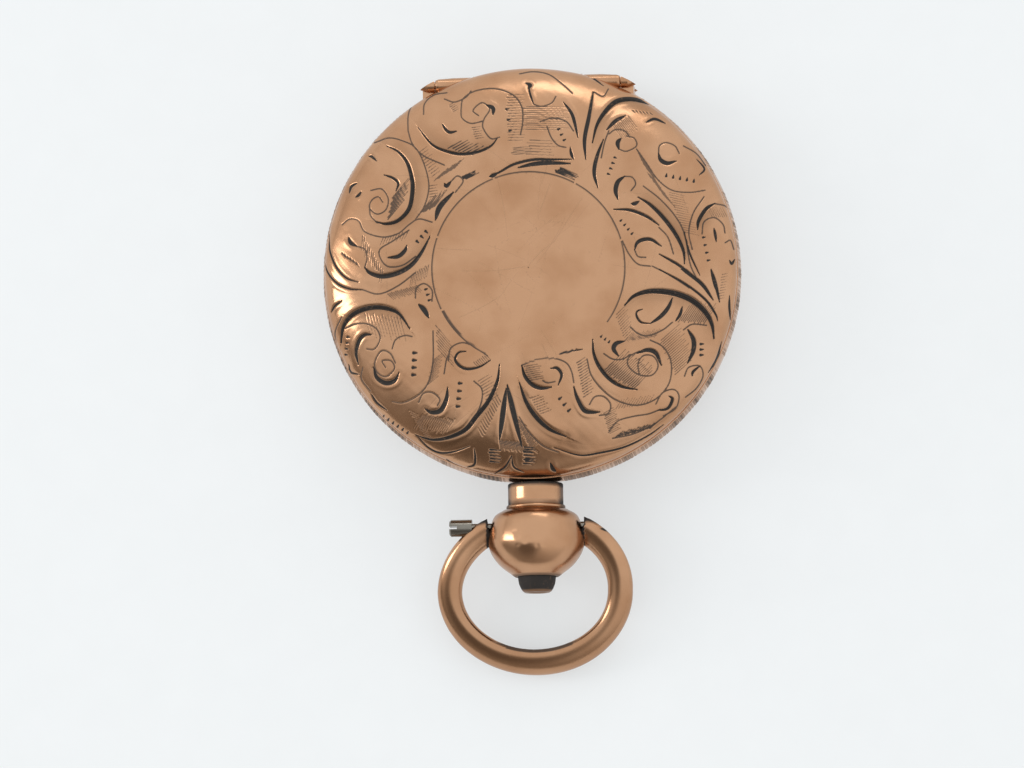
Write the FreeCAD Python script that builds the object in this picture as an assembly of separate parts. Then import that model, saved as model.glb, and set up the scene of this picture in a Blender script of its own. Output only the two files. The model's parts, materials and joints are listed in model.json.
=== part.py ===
import FreeCAD, Part  # FreeCAD has to load before Part

"""Hunter-cased fob watch with a key-wound bar movement, one STEP file per piece.

Millimetres. The origin is the centre of the case, halfway through its middle band.
+Z leaves through the back cover, -Z through the front cover and the dial.
-Y points along the pendant to the bow, and the hinges are at +Y.
"""

import math
import os

V = FreeCAD.Vector
X_AXIS, Y_AXIS, Z_AXIS = V(1, 0, 0), V(0, 1, 0), V(0, 0, 1)
CLEAR = 0.05  # gap left between pieces that move against each other

# ---- case ----
BAND_R = 19.0  # widest part of the case, at the middle of the band
BAND_EDGE_R = 18.78
BAND_HALF = 1.75
BAND_BORE = 15.9
SNAP_IN, SNAP_OUT, SNAP_TOP = 17.1, 17.7, 2.3  # raised ring that the inner covers sit on
GROOVE_R, GROOVE_Z = 16.5, (-1.3, -0.4)  # groove inside the band for the case springs
COVER_R = 18.7
COVER_WALL = 0.45
COVER_RIM = BAND_HALF + 0.03
COVER_LIP = 0.3
BACK_TOP, FRONT_TOP = 5.3, 5.1
FLAT_R = 8.7  # flat round field in the middle of each outer cover
DOME_POWER = 2.2  # above 2 the dome keeps its fullness nearer to the rim
CUVETTE_R, CUVETTE_WALL, CUVETTE_TOP, CUVETTE_FLAT = 17.6, 0.3, 3.74, 12.0
KEY_HOLE_R = 1.5
GLASS_R, GLASS_WALL, GLASS_TOP = 14.9, 0.5, 4.35
BEZEL_BORE = 14.3

# ---- hinges: one straight pin at the back and one at the front ----
HINGE_Y, HINGE_Z = 17.4, BAND_HALF + 0.01
HINGE_R, PIN_R = 0.65, 0.3
HINGE_FILED_R = 19.65  # the hinge's ends are filed to this radius, to run into the round of the case
KNUCKLE_MID, KNUCKLE_INNER, KNUCKLE_OUTER, HINGE_END = 1.95, 4.95, 8.4, 9.9
SWING_R = 1.85
SWING_DEG = 105

# ---- case springs ----
SPRING_SCREW_R = 16.15
LOCK_SCREW_DEG, LIFT_SCREW_DEG = -138, 138
CATCH_R = SNAP_OUT - 0.05  # outer face of the lock spring's catch

# ---- pendant and bow ----
NECK_R, NECK_BORE = 2.5, 1.1
NECK_START, NECK_END = -19.06, -21.45
PIVOT_Y = -22.95
BALL = (  # places along Y and radii, from the neck to the button
    (-21.45, 2.9), (-22.1, 3.82), (-23.7, 4.28), (-25.05, 4.23), (-26.4, 3.38), (-27.5, 2.0),
)
BUTTON_R, BUTTON_START = 1.72, -26.75
BUTTON_SEAT_R, BUTTON_SEAT = 1.78, -26.0
STEM_R = 0.8
PUSH_TRAVEL = 0.6
PUSH_END = -28.95
WIRE_R = 1.15
BOW_CENTRE = 5.9  # the bow is an ellipse, open at the ball; this is its middle's distance from the pivot
BOW_ACROSS, BOW_ALONG = 7.75, 6.6  # half width and half length of its centre line
BOW_OPEN_DEG = 27.0
BOW_DROOP = 15.5  # degrees that the bow hangs below the plane of the case
BOW_GAP = 4.38  # where its flat ends face the ball
BOW_SCREW_R, BOW_HEAD_R = 0.38, 0.77
BOW_HEAD_END, BOW_HEAD_START, BOW_SEAT, BOW_SCREW_TIP = -7.85, -5.8, -5.25, 5.2

# ---- movement levels ----
DIAL_Z = (-2.25, -1.85)
PLATE_Z = (-0.95, 0.3)
BAR_Z = (1.5, 2.3)
ESCAPE_COCK_Z = (1.3, 1.6)
BALANCE_COCK_Z = (2.45, 3.05)
PLATE_R = 15.8
DIAL_R = 15.5
JEWEL_R, JEWEL_HOLE, PIVOT_R = 0.5, 0.15, 0.12
SCREW_R, SCREW_HEAD_R = 0.35, 0.7


def polar(r, deg, origin=V(0, 0, 0)):
    a = math.radians(deg)
    return origin + V(r * math.cos(a), r * math.sin(a), 0)


# ---- gear train: teeth, module and places, each wheel meshing with the next pinion ----
BARREL_TEETH, CENTRE_LEAVES, BARREL_M = 80, 10, 0.16
CENTRE_TEETH, THIRD_LEAVES, CENTRE_M = 64, 8, 0.15
THIRD_TEETH, FOURTH_LEAVES, THIRD_M = 60, 8, 0.13
FOURTH_TEETH, ESCAPE_LEAVES, FOURTH_M = 60, 6, 0.12
CANNON_LEAVES, MINUTE_TEETH, CANNON_M = 12, 36, 0.12
MINUTE_LEAVES, HOUR_TEETH = 10, 40
ESCAPE_TEETH = 15


def spacing(wheel, pinion, module):
    return (wheel + pinion) * module / 2


CENTRE = V(0, 0, 0)
BARREL = polar(spacing(BARREL_TEETH, CENTRE_LEAVES, BARREL_M), 160)
THIRD = polar(spacing(CENTRE_TEETH, THIRD_LEAVES, CENTRE_M), 10)
FOURTH = polar(spacing(THIRD_TEETH, FOURTH_LEAVES, THIRD_M), -35, THIRD)
ESCAPE = polar(spacing(FOURTH_TEETH, ESCAPE_LEAVES, FOURTH_M), -105, FOURTH)
BALANCE = polar(2.35, 217, ESCAPE)
MINUTE = polar(spacing(MINUTE_TEETH, CANNON_LEAVES, CANNON_M), -60)
HOUR_M = 2 * MINUTE.Length / (HOUR_TEETH + MINUTE_LEAVES)

FEET = {
    "barrel_a": V(-3.4, 13.2, 0),
    "barrel_b": V(-10.6, -8.4, 0),
    "centre": V(1.0, 12.6, 0),
    "third": V(10.2, 8.2, 0),
    "fourth": V(14.0, 0.9, 0),
    "escape": V(12.5, -6.2, 0),
    "balance": V(0.2, -12.3, 0),
}
DIAL_FEET = (50, 195, 290)
DIAL_FOOT_R = 14.3
CASE_SCREW_DEG = (125, 305)


# ---- shape helpers ----
def cyl(r, z0, z1, at=V(0, 0, 0)):
    return Part.makeCylinder(r, z1 - z0, V(at.x, at.y, z0))


def tube(r_out, r_in, z0, z1, at=V(0, 0, 0)):
    return cyl(r_out, z0, z1, at).cut(cyl(r_in, z0 - 1, z1 + 1, at))


def bar_x(r, x0, x1, y, z):
    return Part.makeCylinder(r, x1 - x0, V(x0, y, z), X_AXIS)


def rod_y(r, y0, y1, x=0, z=0):
    return Part.makeCylinder(r, y1 - y0, V(x, y0, z), Y_AXIS)


def box(x0, x1, y0, y1, z0, z1):
    return Part.makeBox(x1 - x0, y1 - y0, z1 - z0, V(x0, y0, z0))


def prism(points, z0, z1):
    ring = [V(p[0], p[1], z0) for p in points]
    return Part.Face(Part.makePolygon(ring + ring[:1])).extrude(V(0, 0, z1 - z0))


def lathe(points, axis=Z_AXIS):
    """Solid of revolution of a closed (radius, height) outline about Z, or about Y with heights along Y."""
    def place(p):
        return V(p[0], 0, p[1]) if axis is Z_AXIS else V(p[0], p[1], 0)

    ring = [place(p) for p in points]
    return Part.Face(Part.makePolygon(ring + ring[:1])).revolve(V(0, 0, 0), axis, 360)


def smooth(points, start=None, end=None):
    curve = Part.BSplineCurve()
    if start is None:
        curve.interpolate(points)
    else:
        curve.interpolate(Points=points, InitialTangent=start, FinalTangent=end)
    return curve.toShape()


def turned(shape, deg, at=V(0, 0, 0), axis=Z_AXIS):
    moved = shape.copy()
    moved.rotate(at, axis, deg)
    return moved


def flipped(shape):
    """The same shape on the other side of the case's middle plane."""
    return shape.mirror(V(0, 0, 0), Z_AXIS)


def fuse_all(shapes):
    return shapes[0].multiFuse(shapes[1:]).removeSplitter() if len(shapes) > 1 else shapes[0]


def cut_all(shape, tools):
    return shape.cut(Part.makeCompound(tools)) if tools else shape


def save(name, shape):
    solids = shape.Solids
    assert solids and all(s.isValid() and s.Volume > 0 for s in solids), name
    (solids[0] if len(solids) == 1 else Part.makeCompound(solids)).exportStep(f"parts/{name}.step")


# ---- gear helpers ----
WHEEL_FLANK = ((-1.0, 0.66), (0.0, 0.66), (0.6, 0.5), (1.12, 0.16))  # height and half width, in modules
LEAF_FLANK = ((-1.35, 0.3), (0.0, 0.5), (0.3, 0.42), (0.5, 0.14))


def gear(teeth, module, flank, z0, z1, at, tooth_deg):
    """A toothed disc with one tooth centred on the direction tooth_deg."""
    pitch_r = teeth * module / 2
    points = []
    for n in range(teeth):
        middle = math.radians(tooth_deg) + 2 * math.pi * n / teeth
        sides = [(h, -w) for h, w in flank] + [(h, w) for h, w in reversed(flank)]
        for height, width in sides:
            r = pitch_r + height * module
            a = middle + width * module / pitch_r
            points.append((at.x + r * math.cos(a), at.y + r * math.sin(a)))
    return prism(points, z0, z1)


def direction(a, b):
    return math.degrees(math.atan2(b.y - a.y, b.x - a.x))


def wheel(teeth, module, z0, z1, at, meets, bore, arms=5, rim=0.7):
    """A crossed-out brass wheel whose tooth points at the pinion it drives."""
    disc = gear(teeth, module, WHEEL_FLANK, z0, z1, at, direction(at, meets))
    outer = teeth * module / 2 - module - rim
    gaps = tube(outer, bore + 0.75, z0 - 1, z1 + 1, at)
    spokes = [
        turned(box(at.x, at.x + outer + 0.2, at.y - 0.22, at.y + 0.22, z0 - 1, z1 + 1), 360 * n / arms, at)
        for n in range(arms)
    ]
    gaps = gaps.cut(Part.makeCompound(spokes))
    return disc.cut(gaps).cut(cyl(bore, z0 - 1, z1 + 1, at))


def leaves(count, module, z0, z1, at, meets):
    """A pinion whose gap points at the wheel that drives it."""
    return gear(count, module, LEAF_FLANK, z0, z1, at, direction(at, meets) + 180 / count)


def arbor(at, steps):
    """A stepped shaft: (radius, z0, z1) for each step."""
    return fuse_all([cyl(r, z0, z1, at) for r, z0, z1 in steps])


# ---- case pieces ----
def dome_curve(flat_r, rim_r, rise, base, steps=9):
    """Flat in the middle, then a superellipse that meets the rim upright. Runs from flat_r out to rim_r."""
    points = []
    for n in range(steps):
        t = math.pi / 2 * n / (steps - 1)
        r = flat_r + (rim_r - flat_r) * math.sin(t) ** (2 / DOME_POWER)
        points.append(V(r, 0, base + rise * math.cos(t)))
    return smooth(points, X_AXIS, -Z_AXIS)


def shell(flat_r, rim_r, top, lip_z, rim_z, wall):
    """A domed cover with an upright lip, open towards the movement."""
    outer = dome_curve(flat_r, rim_r, top - lip_z, lip_z)
    inner = dome_curve(flat_r, rim_r - wall, top - wall - lip_z, lip_z)
    edges = [
        Part.makeLine(V(0, 0, top), V(flat_r, 0, top)),
        outer,
        Part.makeLine(V(rim_r, 0, lip_z), V(rim_r, 0, rim_z)),
        Part.makeLine(V(rim_r, 0, rim_z), V(rim_r - wall, 0, rim_z)),
        Part.makeLine(V(rim_r - wall, 0, rim_z), V(rim_r - wall, 0, lip_z)),
        inner,
        Part.makeLine(V(flat_r, 0, top - wall), V(0, 0, top - wall)),
        Part.makeLine(V(0, 0, top - wall), V(0, 0, top)),
    ]
    wire = Part.Wire(Part.__sortEdges__(edges))
    return Part.Face(wire).revolve(V(0, 0, 0), Z_AXIS, 360)


def both_sides(x0, x1, r):
    return [bar_x(r, x0, x1, HINGE_Y, HINGE_Z), bar_x(r, -x1, -x0, HINGE_Y, HINGE_Z)]


def filed(shape):
    """The shape without whatever stands out beyond the filed ends of the hinge."""
    return shape.common(cyl(HINGE_FILED_R, -4, 4))


def pin_bore():
    return bar_x(PIN_R + 0.03, -HINGE_END - 1, HINGE_END + 1, HINGE_Y, HINGE_Z)


def outer_cover(top, knuckle_start):
    """An outer cover with its pair of knuckles. Written for the back; the front is its mirror."""
    cover = shell(FLAT_R, COVER_R, top, COVER_RIM + COVER_LIP, COVER_RIM, COVER_WALL)
    room = [bar_x(HINGE_R + 0.07, -knuckle_start + CLEAR, knuckle_start - CLEAR, HINGE_Y, HINGE_Z)]
    room += both_sides(KNUCKLE_OUTER + CLEAR, HINGE_END + 0.5, HINGE_R + 0.07)
    cover = cut_all(cover, room)
    knuckles = [filed(k) for k in both_sides(knuckle_start, KNUCKLE_OUTER, HINGE_R)]
    thumb_lip = box(-2.2, 2.2, -COVER_R - 0.12, -COVER_R + 0.3, COVER_RIM, COVER_RIM + 0.22)
    return fuse_all([cover, thumb_lip] + knuckles).cut(pin_bore())


def inner_knuckles():
    """The cuvette's tubes, each with a short leaf that reaches in over the snap ring."""
    shapes = both_sides(KNUCKLE_MID + CLEAR, KNUCKLE_INNER, HINGE_R)
    leaf_z = SNAP_TOP + 0.03
    leaf_end = HINGE_Y - 0.25
    for side in (-1, 1):
        x0, x1 = sorted((side * (KNUCKLE_MID + CLEAR), side * KNUCKLE_INNER))
        shapes.append(box(x0, x1, HINGE_Y - 1.6, leaf_end, leaf_z, leaf_z + CUVETTE_WALL))
        shapes.append(box(x0, x1, HINGE_Y - HINGE_R, leaf_end, HINGE_Z + 0.2, leaf_z + 0.1))
    return shapes


def hinge_chord():
    """Room beyond the inner covers' edge, so that only their knuckles reach the hinge."""
    return box(-20, 20, HINGE_Y - HINGE_R - 0.12, 25, 0, 9)


def cuvette():
    """Inner back cover: flat with a rolled shoulder, and a hole for the key over each square."""
    rim = SNAP_TOP + 0.03
    top, shoulder, foot = CUVETTE_TOP, CUVETTE_FLAT, 16.6
    under = top - CUVETTE_WALL
    outer = Part.Arc(V(shoulder, 0, top), V(15.8, 0, 3.42), V(CUVETTE_R, 0, rim + 0.3)).toShape()
    inner = Part.Arc(V(foot, 0, rim + 0.3), V(14.9, 0, 3.18), V(shoulder, 0, under)).toShape()
    corners = ((CUVETTE_R, rim + 0.3), (CUVETTE_R, rim), (foot, rim), (foot, rim + 0.3))
    inside = ((shoulder, under), (0, under), (0, top), (shoulder, top))
    edges = [outer, inner]
    for chain in (corners, inside):
        edges += [Part.makeLine(V(a[0], 0, a[1]), V(b[0], 0, b[1])) for a, b in zip(chain, chain[1:])]
    body = Part.Face(Part.Wire(Part.__sortEdges__(edges))).revolve(V(0, 0, 0), Z_AXIS, 360)
    body = body.cut(hinge_chord())
    body = fuse_all([body] + inner_knuckles()).cut(pin_bore())
    return cut_all(body, [cyl(KEY_HOLE_R, 0, 9, CENTRE), cyl(KEY_HOLE_R, 0, 9, BARREL)])


def bezel():
    """Snap-on glass bezel, a sloped ring with a groove for the glass. Drawn at the back and mirrored."""
    rim = SNAP_TOP + 0.03
    ring = lathe(
        (
            (CUVETTE_R, rim), (CUVETTE_R, rim + 0.3), (16.4, 3.35), (15.4, 3.6), (14.75, 3.6), (14.75, 3.3),
            (14.98, 3.3), (14.98, 2.75), (BEZEL_BORE, 2.75), (BEZEL_BORE, rim + 0.1), (15.9, rim),
        )
    )
    return ring.cut(hinge_chord())


def crystal():
    """Low domed glass held by its edge in the bezel."""
    edge = GLASS_R - 0.2

    def arc(top, r, base):
        return Part.Arc(V(0, 0, top), V(r * 0.6, 0, base + (top - base) * 0.66), V(r, 0, base)).toShape()

    outer, inner = arc(GLASS_TOP, edge, 3.27), arc(GLASS_TOP - GLASS_WALL, edge, 2.8)
    edges = [
        outer,
        Part.makeLine(V(edge, 0, 3.27), V(GLASS_R, 0, 3.2)),
        Part.makeLine(V(GLASS_R, 0, 3.2), V(GLASS_R, 0, 2.85)),
        Part.makeLine(V(GLASS_R, 0, 2.85), V(edge, 0, 2.8)),
        inner,
        Part.makeLine(V(0, 0, GLASS_TOP - GLASS_WALL), V(0, 0, GLASS_TOP)),
    ]
    return Part.Face(Part.Wire(Part.__sortEdges__(edges))).revolve(V(0, 0, 0), Z_AXIS, 360)


def swing_room():
    """The space that the outer cover's edge sweeps outside the hinge as it opens."""
    pie = Part.makeCylinder(SWING_R, 2 * (KNUCKLE_OUTER + CLEAR), V(0, 0, 0), Z_AXIS, SWING_DEG)
    pie.rotate(V(0, 0, 0), Y_AXIS, 90)  # axis now along +X, the sector opens from -Z towards +Y
    pie.rotate(V(0, 0, 0), X_AXIS, 90 - SWING_DEG)
    pie.translate(V(-KNUCKLE_OUTER - CLEAR, HINGE_Y, HINGE_Z))
    return pie


def band_hinge():
    """The band's own knuckles for one side: one in the middle and a tapered one at each end."""
    shapes = [bar_x(HINGE_R, -KNUCKLE_MID, KNUCKLE_MID, HINGE_Y, HINGE_Z)]
    shapes.append(box(-KNUCKLE_MID, KNUCKLE_MID, HINGE_Y - 0.9, HINGE_Y - 0.3, 0.6, HINGE_Z))
    for side in (-1, 1):
        start, taper = KNUCKLE_OUTER + 2 * CLEAR, HINGE_END - 0.8
        axis = V(side, 0, 0)
        shapes.append(Part.makeCylinder(HINGE_R, taper - start, V(side * start, HINGE_Y, HINGE_Z), axis))
        shapes.append(Part.makeCone(HINGE_R, 0.35, 0.8, V(side * taper, HINGE_Y, HINGE_Z), axis))
        x0, x1 = sorted((side * start, side * (HINGE_END - 0.3)))
        shapes.append(box(x0, x1, HINGE_Y - 2.2, HINGE_Y + 0.35, 0, HINGE_Z - 0.1))
    return [filed(s) for s in shapes]


def case_band():
    arc = Part.Arc(V(BAND_EDGE_R, 0, -BAND_HALF), V(BAND_R, 0, 0), V(BAND_EDGE_R, 0, BAND_HALF)).toShape()
    corners = [
        (BAND_EDGE_R, BAND_HALF), (SNAP_OUT, BAND_HALF), (SNAP_OUT, SNAP_TOP), (SNAP_IN, SNAP_TOP),
        (SNAP_IN, BAND_HALF), (BAND_BORE, BAND_HALF), (BAND_BORE, -BAND_HALF), (SNAP_IN, -BAND_HALF),
        (SNAP_IN, -SNAP_TOP), (SNAP_OUT, -SNAP_TOP), (SNAP_OUT, -BAND_HALF), (BAND_EDGE_R, -BAND_HALF),
    ]
    lines = [Part.makeLine(V(a[0], 0, a[1]), V(b[0], 0, b[1])) for a, b in zip(corners, corners[1:])]
    ring = Part.Face(Part.Wire(Part.__sortEdges__([arc] + lines))).revolve(V(0, 0, 0), Z_AXIS, 360)
    half = KNUCKLE_OUTER + 0.4
    upstand_room = box(-half, half, HINGE_Y - HINGE_R - 0.1, 20, BAND_HALF - 1e-3, 3)
    knuckle_room = []
    for side in (-1, 1):
        x0, x1 = sorted((side * (KNUCKLE_MID - CLEAR), side * (KNUCKLE_OUTER + CLEAR)))
        knuckle_room.append(box(x0, x1, HINGE_Y - HINGE_R - 0.08, 20, HINGE_Z - HINGE_R - 0.06, 3))
    flat = box(-KNUCKLE_OUTER - CLEAR, KNUCKLE_OUTER + CLEAR, HINGE_Y + 0.5, 20, -1, 1)
    tools = [swing_room(), upstand_room, flat] + knuckle_room
    tools += [flipped(t) for t in tools]
    ring = cut_all(ring, tools)
    knuckles = band_hinge()
    knuckles += [flipped(k) for k in knuckles]
    ring = fuse_all([ring] + knuckles)
    bores = [pin_bore(), flipped(pin_bore())]
    bores.append(tube(GROOVE_R, 10, GROOVE_Z[0], GROOVE_Z[1]))
    bores.append(tube(16.3, 10, PLATE_Z[1] - 0.02, 0.85))  # groove for the case screws' heads
    for deg in (LOCK_SCREW_DEG, LIFT_SCREW_DEG):
        at = polar(SPRING_SCREW_R, deg)
        bores.append(cyl(0.4, -3, GROOVE_Z[0] + 0.1, at))
        bores.append(cyl(0.2, -1, 0.25, at))
    bores.append(rod_y(1.62, -20, -17.8))
    bores.append(rod_y(STEM_R + 0.05, -18, -15))
    bores.append(box(-1.5, 1.5, -SNAP_OUT - 0.05, -15.8, -3, GROOVE_Z[1]))
    bores.append(box(-1.0, 1.0, 15.5, SNAP_OUT - 1.0, -3, GROOVE_Z[1]))
    return cut_all(ring, bores)


def hinge_pin():
    return filed(bar_x(PIN_R, -HINGE_END + 0.15, HINGE_END - 0.15, HINGE_Y, HINGE_Z))


def case_spring(start_deg, end_deg, finger_deg, finger_half, finger_r, finger_z, screw_deg):
    """A flat curved spring in the band's groove, with a finger towards the front cover and a screw hole."""
    z0, z1 = GROOVE_Z[0] + 0.08, GROOVE_Z[1] - 0.08
    arc = tube(GROOVE_R - 0.12, BAND_BORE + 0.06, z0, z1)
    rays = [polar(25, start_deg + (end_deg - start_deg) * n / 4) for n in range(5)]
    arc = arc.common(prism([(0, 0)] + [(p.x, p.y) for p in rays], -3, 3))
    foot = cyl(0.33, z0, z1, polar(SPRING_SCREW_R, screw_deg))
    finger = box(BAND_BORE + 0.3, finger_r, -finger_half, finger_half, finger_z, z1)
    spring = fuse_all([arc, foot, turned(finger, finger_deg)])
    return spring.cut(cyl(0.21, -5, 5, polar(SPRING_SCREW_R, screw_deg)))


def spring_screws():
    """One steel screw through the foot of each case spring, up into the band."""
    shapes = []
    for deg in (LOCK_SCREW_DEG, LIFT_SCREW_DEG):
        at = polar(SPRING_SCREW_R, deg)
        shapes.append(fuse_all([cyl(0.16, -1.5, 0.2, at), cyl(0.32, -1.5, GROOVE_Z[0] + CLEAR, at)]))
    return Part.makeCompound(shapes)


def pendant_neck():
    body = rod_y(NECK_R, NECK_END + 0.35, NECK_START)
    bead = lathe(
        (
            (0, NECK_END), (NECK_R + 0.02, NECK_END), (NECK_R + 0.16, NECK_END + 0.2),
            (NECK_R, NECK_END + 0.42), (0, NECK_END + 0.42),
        ),
        Y_AXIS,
    )
    spigot = rod_y(1.6, NECK_START, -17.85)
    return fuse_all([body, bead, spigot]).cut(rod_y(NECK_BORE, -25, -15))


def pendant_ball():
    """Onion-shaped ball, bored for the push piece and cross-bored for the bow screw."""
    curve = smooth([V(r, y, 0) for y, r in BALL])
    top, bottom = BALL[0], BALL[-1]
    edges = [
        curve,
        Part.makeLine(V(bottom[1], bottom[0], 0), V(0, bottom[0], 0)),
        Part.makeLine(V(0, bottom[0], 0), V(0, top[0], 0)),
        Part.makeLine(V(0, top[0], 0), V(top[1], top[0], 0)),
    ]
    ball = Part.Face(Part.Wire(Part.__sortEdges__(edges))).revolve(V(0, 0, 0), Y_AXIS, 360)
    tools = [rod_y(BUTTON_SEAT_R, -30, BUTTON_SEAT), rod_y(STEM_R + 0.05, -30, -20)]
    tools.append(bar_x(BOW_SCREW_R + 0.05, -6, 6, PIVOT_Y, 0))
    return cut_all(ball, tools)


def push_piece():
    """Button and stem in one. The bow screw crosses a slot in the stem, which limits its travel."""
    cap = lathe(
        (
            (0, BUTTON_START), (BUTTON_R, BUTTON_START), (BUTTON_R, -27.6), (1.66, -28.1),
            (1.45, -28.6), (1.1, PUSH_END), (0.95, PUSH_END), (0.8, PUSH_END + 0.12), (0, PUSH_END + 0.12),
        ),
        Y_AXIS,
    )
    stem = rod_y(STEM_R, BUTTON_START - 0.15, -CATCH_R - CLEAR)
    half = BOW_SCREW_R + 0.06
    slot = box(-2, 2, PIVOT_Y - PUSH_TRAVEL - half, PIVOT_Y + half, -half, half)
    return fuse_all([cap, stem]).cut(slot)


def bow():
    """One round wire bent to an ellipse, with its ends against the ball."""
    middle = V(0, -BOW_CENTRE, 0)
    loop = Part.Ellipse(middle + V(BOW_ACROSS, 0, 0), middle + V(0, -BOW_ALONG, 0), middle)
    gap = math.radians(BOW_OPEN_DEG)
    path = Part.ArcOfEllipse(loop, gap - math.pi / 2, 1.5 * math.pi - gap).toShape()
    start, along = path.valueAt(path.FirstParameter), path.tangentAt(path.FirstParameter)
    profile = Part.Wire(Part.makeCircle(WIRE_R, start, along))
    ring = Part.Wire(path).makePipeShell([profile], True, True)
    ring = Part.Solid(ring) if not ring.Solids else ring.Solids[0]
    tools = [box(-BOW_GAP, BOW_GAP, -5, 5, -5, 5)]
    tools.append(bar_x(BOW_SCREW_R + 0.03, -10, 10, 0, 0))
    tools.append(bar_x(BOW_HEAD_R + 0.06, -12, BOW_SEAT, 0, 0))
    ring = cut_all(ring, tools)
    ring.translate(V(0, PIVOT_Y, 0))
    return turned(ring, BOW_DROOP, V(0, PIVOT_Y, 0), X_AXIS)


def bow_screw():
    """Slotted steel screw across the ball, standing a little out of its seat."""
    bevel, slot_depth, slot_half = 0.15, 0.7, 0.13
    head = bar_x(BOW_HEAD_R, BOW_HEAD_END + bevel, BOW_HEAD_START, PIVOT_Y, 0)
    nose = Part.makeCone(BOW_HEAD_R - bevel, BOW_HEAD_R, bevel, V(BOW_HEAD_END, PIVOT_Y, 0), X_AXIS)
    shank = bar_x(BOW_SCREW_R, BOW_HEAD_START, BOW_SCREW_TIP, PIVOT_Y, 0)
    slot_end = BOW_HEAD_END + slot_depth
    slot = box(BOW_HEAD_END - 1, slot_end, PIVOT_Y - slot_half, PIVOT_Y + slot_half, -2, 2)
    return fuse_all([head, nose, shank]).cut(slot)


# ---- movement frame ----
def finger(foot, end, z, foot_r, end_r, foot_z0, middle=None):
    """A bar with a round foot that stands on the plate and a round end over a pivot."""
    z0, z1 = z
    stops = [(foot, foot_r)] + ([middle] if middle else []) + [(end, end_r)]
    shapes = [cyl(r, z0, z1, p) for p, r in stops]
    for (a, ra), (b, rb) in zip(stops, stops[1:]):
        side = V(-(b - a).y, (b - a).x, 0).normalize()
        wa, wb = ra * 0.86, rb * 0.86
        corners = [a + side * wa, b + side * wb, b - side * wb, a - side * wa]
        shapes.append(prism([(p.x, p.y) for p in corners], z0, z1))
    shapes.append(cyl(foot_r, foot_z0, z0, foot))
    return fuse_all(shapes)


def drilled(shape, feet, pivots):
    tools = [cyl(SCREW_R + 0.02, -5, 5, FEET[f]) for f in feet]
    tools += [cyl(JEWEL_R, -5, 5, p) for p in pivots]
    return cut_all(shape, tools)


def barrel_bar():
    top = PLATE_Z[1]
    a = finger(FEET["barrel_a"], BARREL, BAR_Z, 1.6, 2.9, top)
    b = finger(FEET["barrel_b"], BARREL, BAR_Z, 1.6, 2.9, top)
    bar = fuse_all([a, b])
    bar = cut_all(bar, [cyl(0.95, -5, 5, BARREL), cyl(0.22, -5, 5, CLICK_AT)])
    return drilled(bar, ("barrel_a", "barrel_b"), ())


def main_plate():
    z0, z1 = PLATE_Z
    plate = cyl(PLATE_R, z0, z1)
    tools = [tube(PLATE_R + 1, PLATE_R - 0.6, z0 - 1, GROOVE_Z[1] - 0.02)]  # room for the case springs
    tools += [cyl(6.85, -0.65, 2, BARREL), cyl(0.5, z0 - 1, z1, BARREL), cyl(0.62, z0 - 1, z1 + 1, CENTRE)]
    tools += [cyl(JEWEL_R, 0.0, z1 + 1, p) for p in (THIRD, FOURTH, ESCAPE, BALANCE)]
    tools += [cyl(SCREW_R + 0.02, -0.3, z1 + 1, p) for p in FEET.values()]
    tools += [cyl(0.4, z0 - 1, z1 + 1, polar(DIAL_FOOT_R, a)) for a in DIAL_FEET]
    tools += [cyl(SCREW_R + 0.02, -0.3, z1 + 1, polar(14.9, a)) for a in CASE_SCREW_DEG]
    plate = cut_all(plate, tools)
    post = cyl(0.2, -1.8, z0, MINUTE)
    return fuse_all([plate, post])


def slotted_screw(at, seat_z, tip_z, head_r=SCREW_HEAD_R, head_h=0.28, slot_deg=0):
    screw = fuse_all([cyl(SCREW_R, tip_z, seat_z, at), cyl(head_r, seat_z, seat_z + head_h, at)])
    slot = box(at.x - 2, at.x + 2, at.y - 0.08, at.y + 0.08, seat_z + head_h / 2, seat_z + 1)
    return screw.cut(turned(slot, slot_deg, at))


def bar_screws():
    tops = dict.fromkeys(FEET, BAR_Z[1])
    tops.update(escape=ESCAPE_COCK_Z[1], balance=BALANCE_COCK_Z[1])
    return Part.makeCompound(
        [slotted_screw(p, tops[n], -0.25, slot_deg=37 * i) for i, (n, p) in enumerate(FEET.items())]
    )


def jewel(at, z0, z1, hole=JEWEL_HOLE):
    return tube(JEWEL_R, hole, z0, z1, at)


def jewels():
    stones = [jewel(p, 0.02, PLATE_Z[1]) for p in (THIRD, FOURTH, ESCAPE, BALANCE)]
    stones += [jewel(p, 1.75, 2.2) for p in (THIRD, FOURTH)]
    stones.append(jewel(ESCAPE, 1.35, ESCAPE_COCK_Z[1]))
    stones.append(jewel(BALANCE, 2.55, 2.85))
    stones.append(cyl(JEWEL_R, 2.86, BALANCE_COCK_Z[1], BALANCE))
    return Part.makeCompound(stones)


# ---- barrel and winding ----
DRUM_R, DRUM_Z, GEAR_Z = 5.85, (-0.5, 0.8), (0.4, 0.8)
RATCHET_R, RATCHET_TEETH, RATCHET_Z = 2.1, 24, (2.36, 2.64)
CLICK_AT = BARREL + polar(3.55, direction(BARREL, FEET["barrel_b"]) + 12)


def barrel():
    toothed = gear(BARREL_TEETH, BARREL_M, WHEEL_FLANK, *GEAR_Z, BARREL, direction(BARREL, CENTRE))
    drum = cyl(DRUM_R, DRUM_Z[0], DRUM_Z[1], BARREL)
    room = [cyl(DRUM_R - 0.3, DRUM_Z[0] - 1, DRUM_Z[1] - 0.25, BARREL), cyl(0.85, -2, 2, BARREL)]
    return cut_all(fuse_all([toothed, drum]), room)


def barrel_cover():
    return tube(DRUM_R - 0.33, 0.55, DRUM_Z[0], DRUM_Z[0] + 0.2, BARREL)


def square_bar(side, z0, z1, at):
    half = side / 2
    return box(at.x - half, at.x + half, at.y - half, at.y + half, z0, z1)


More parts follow.
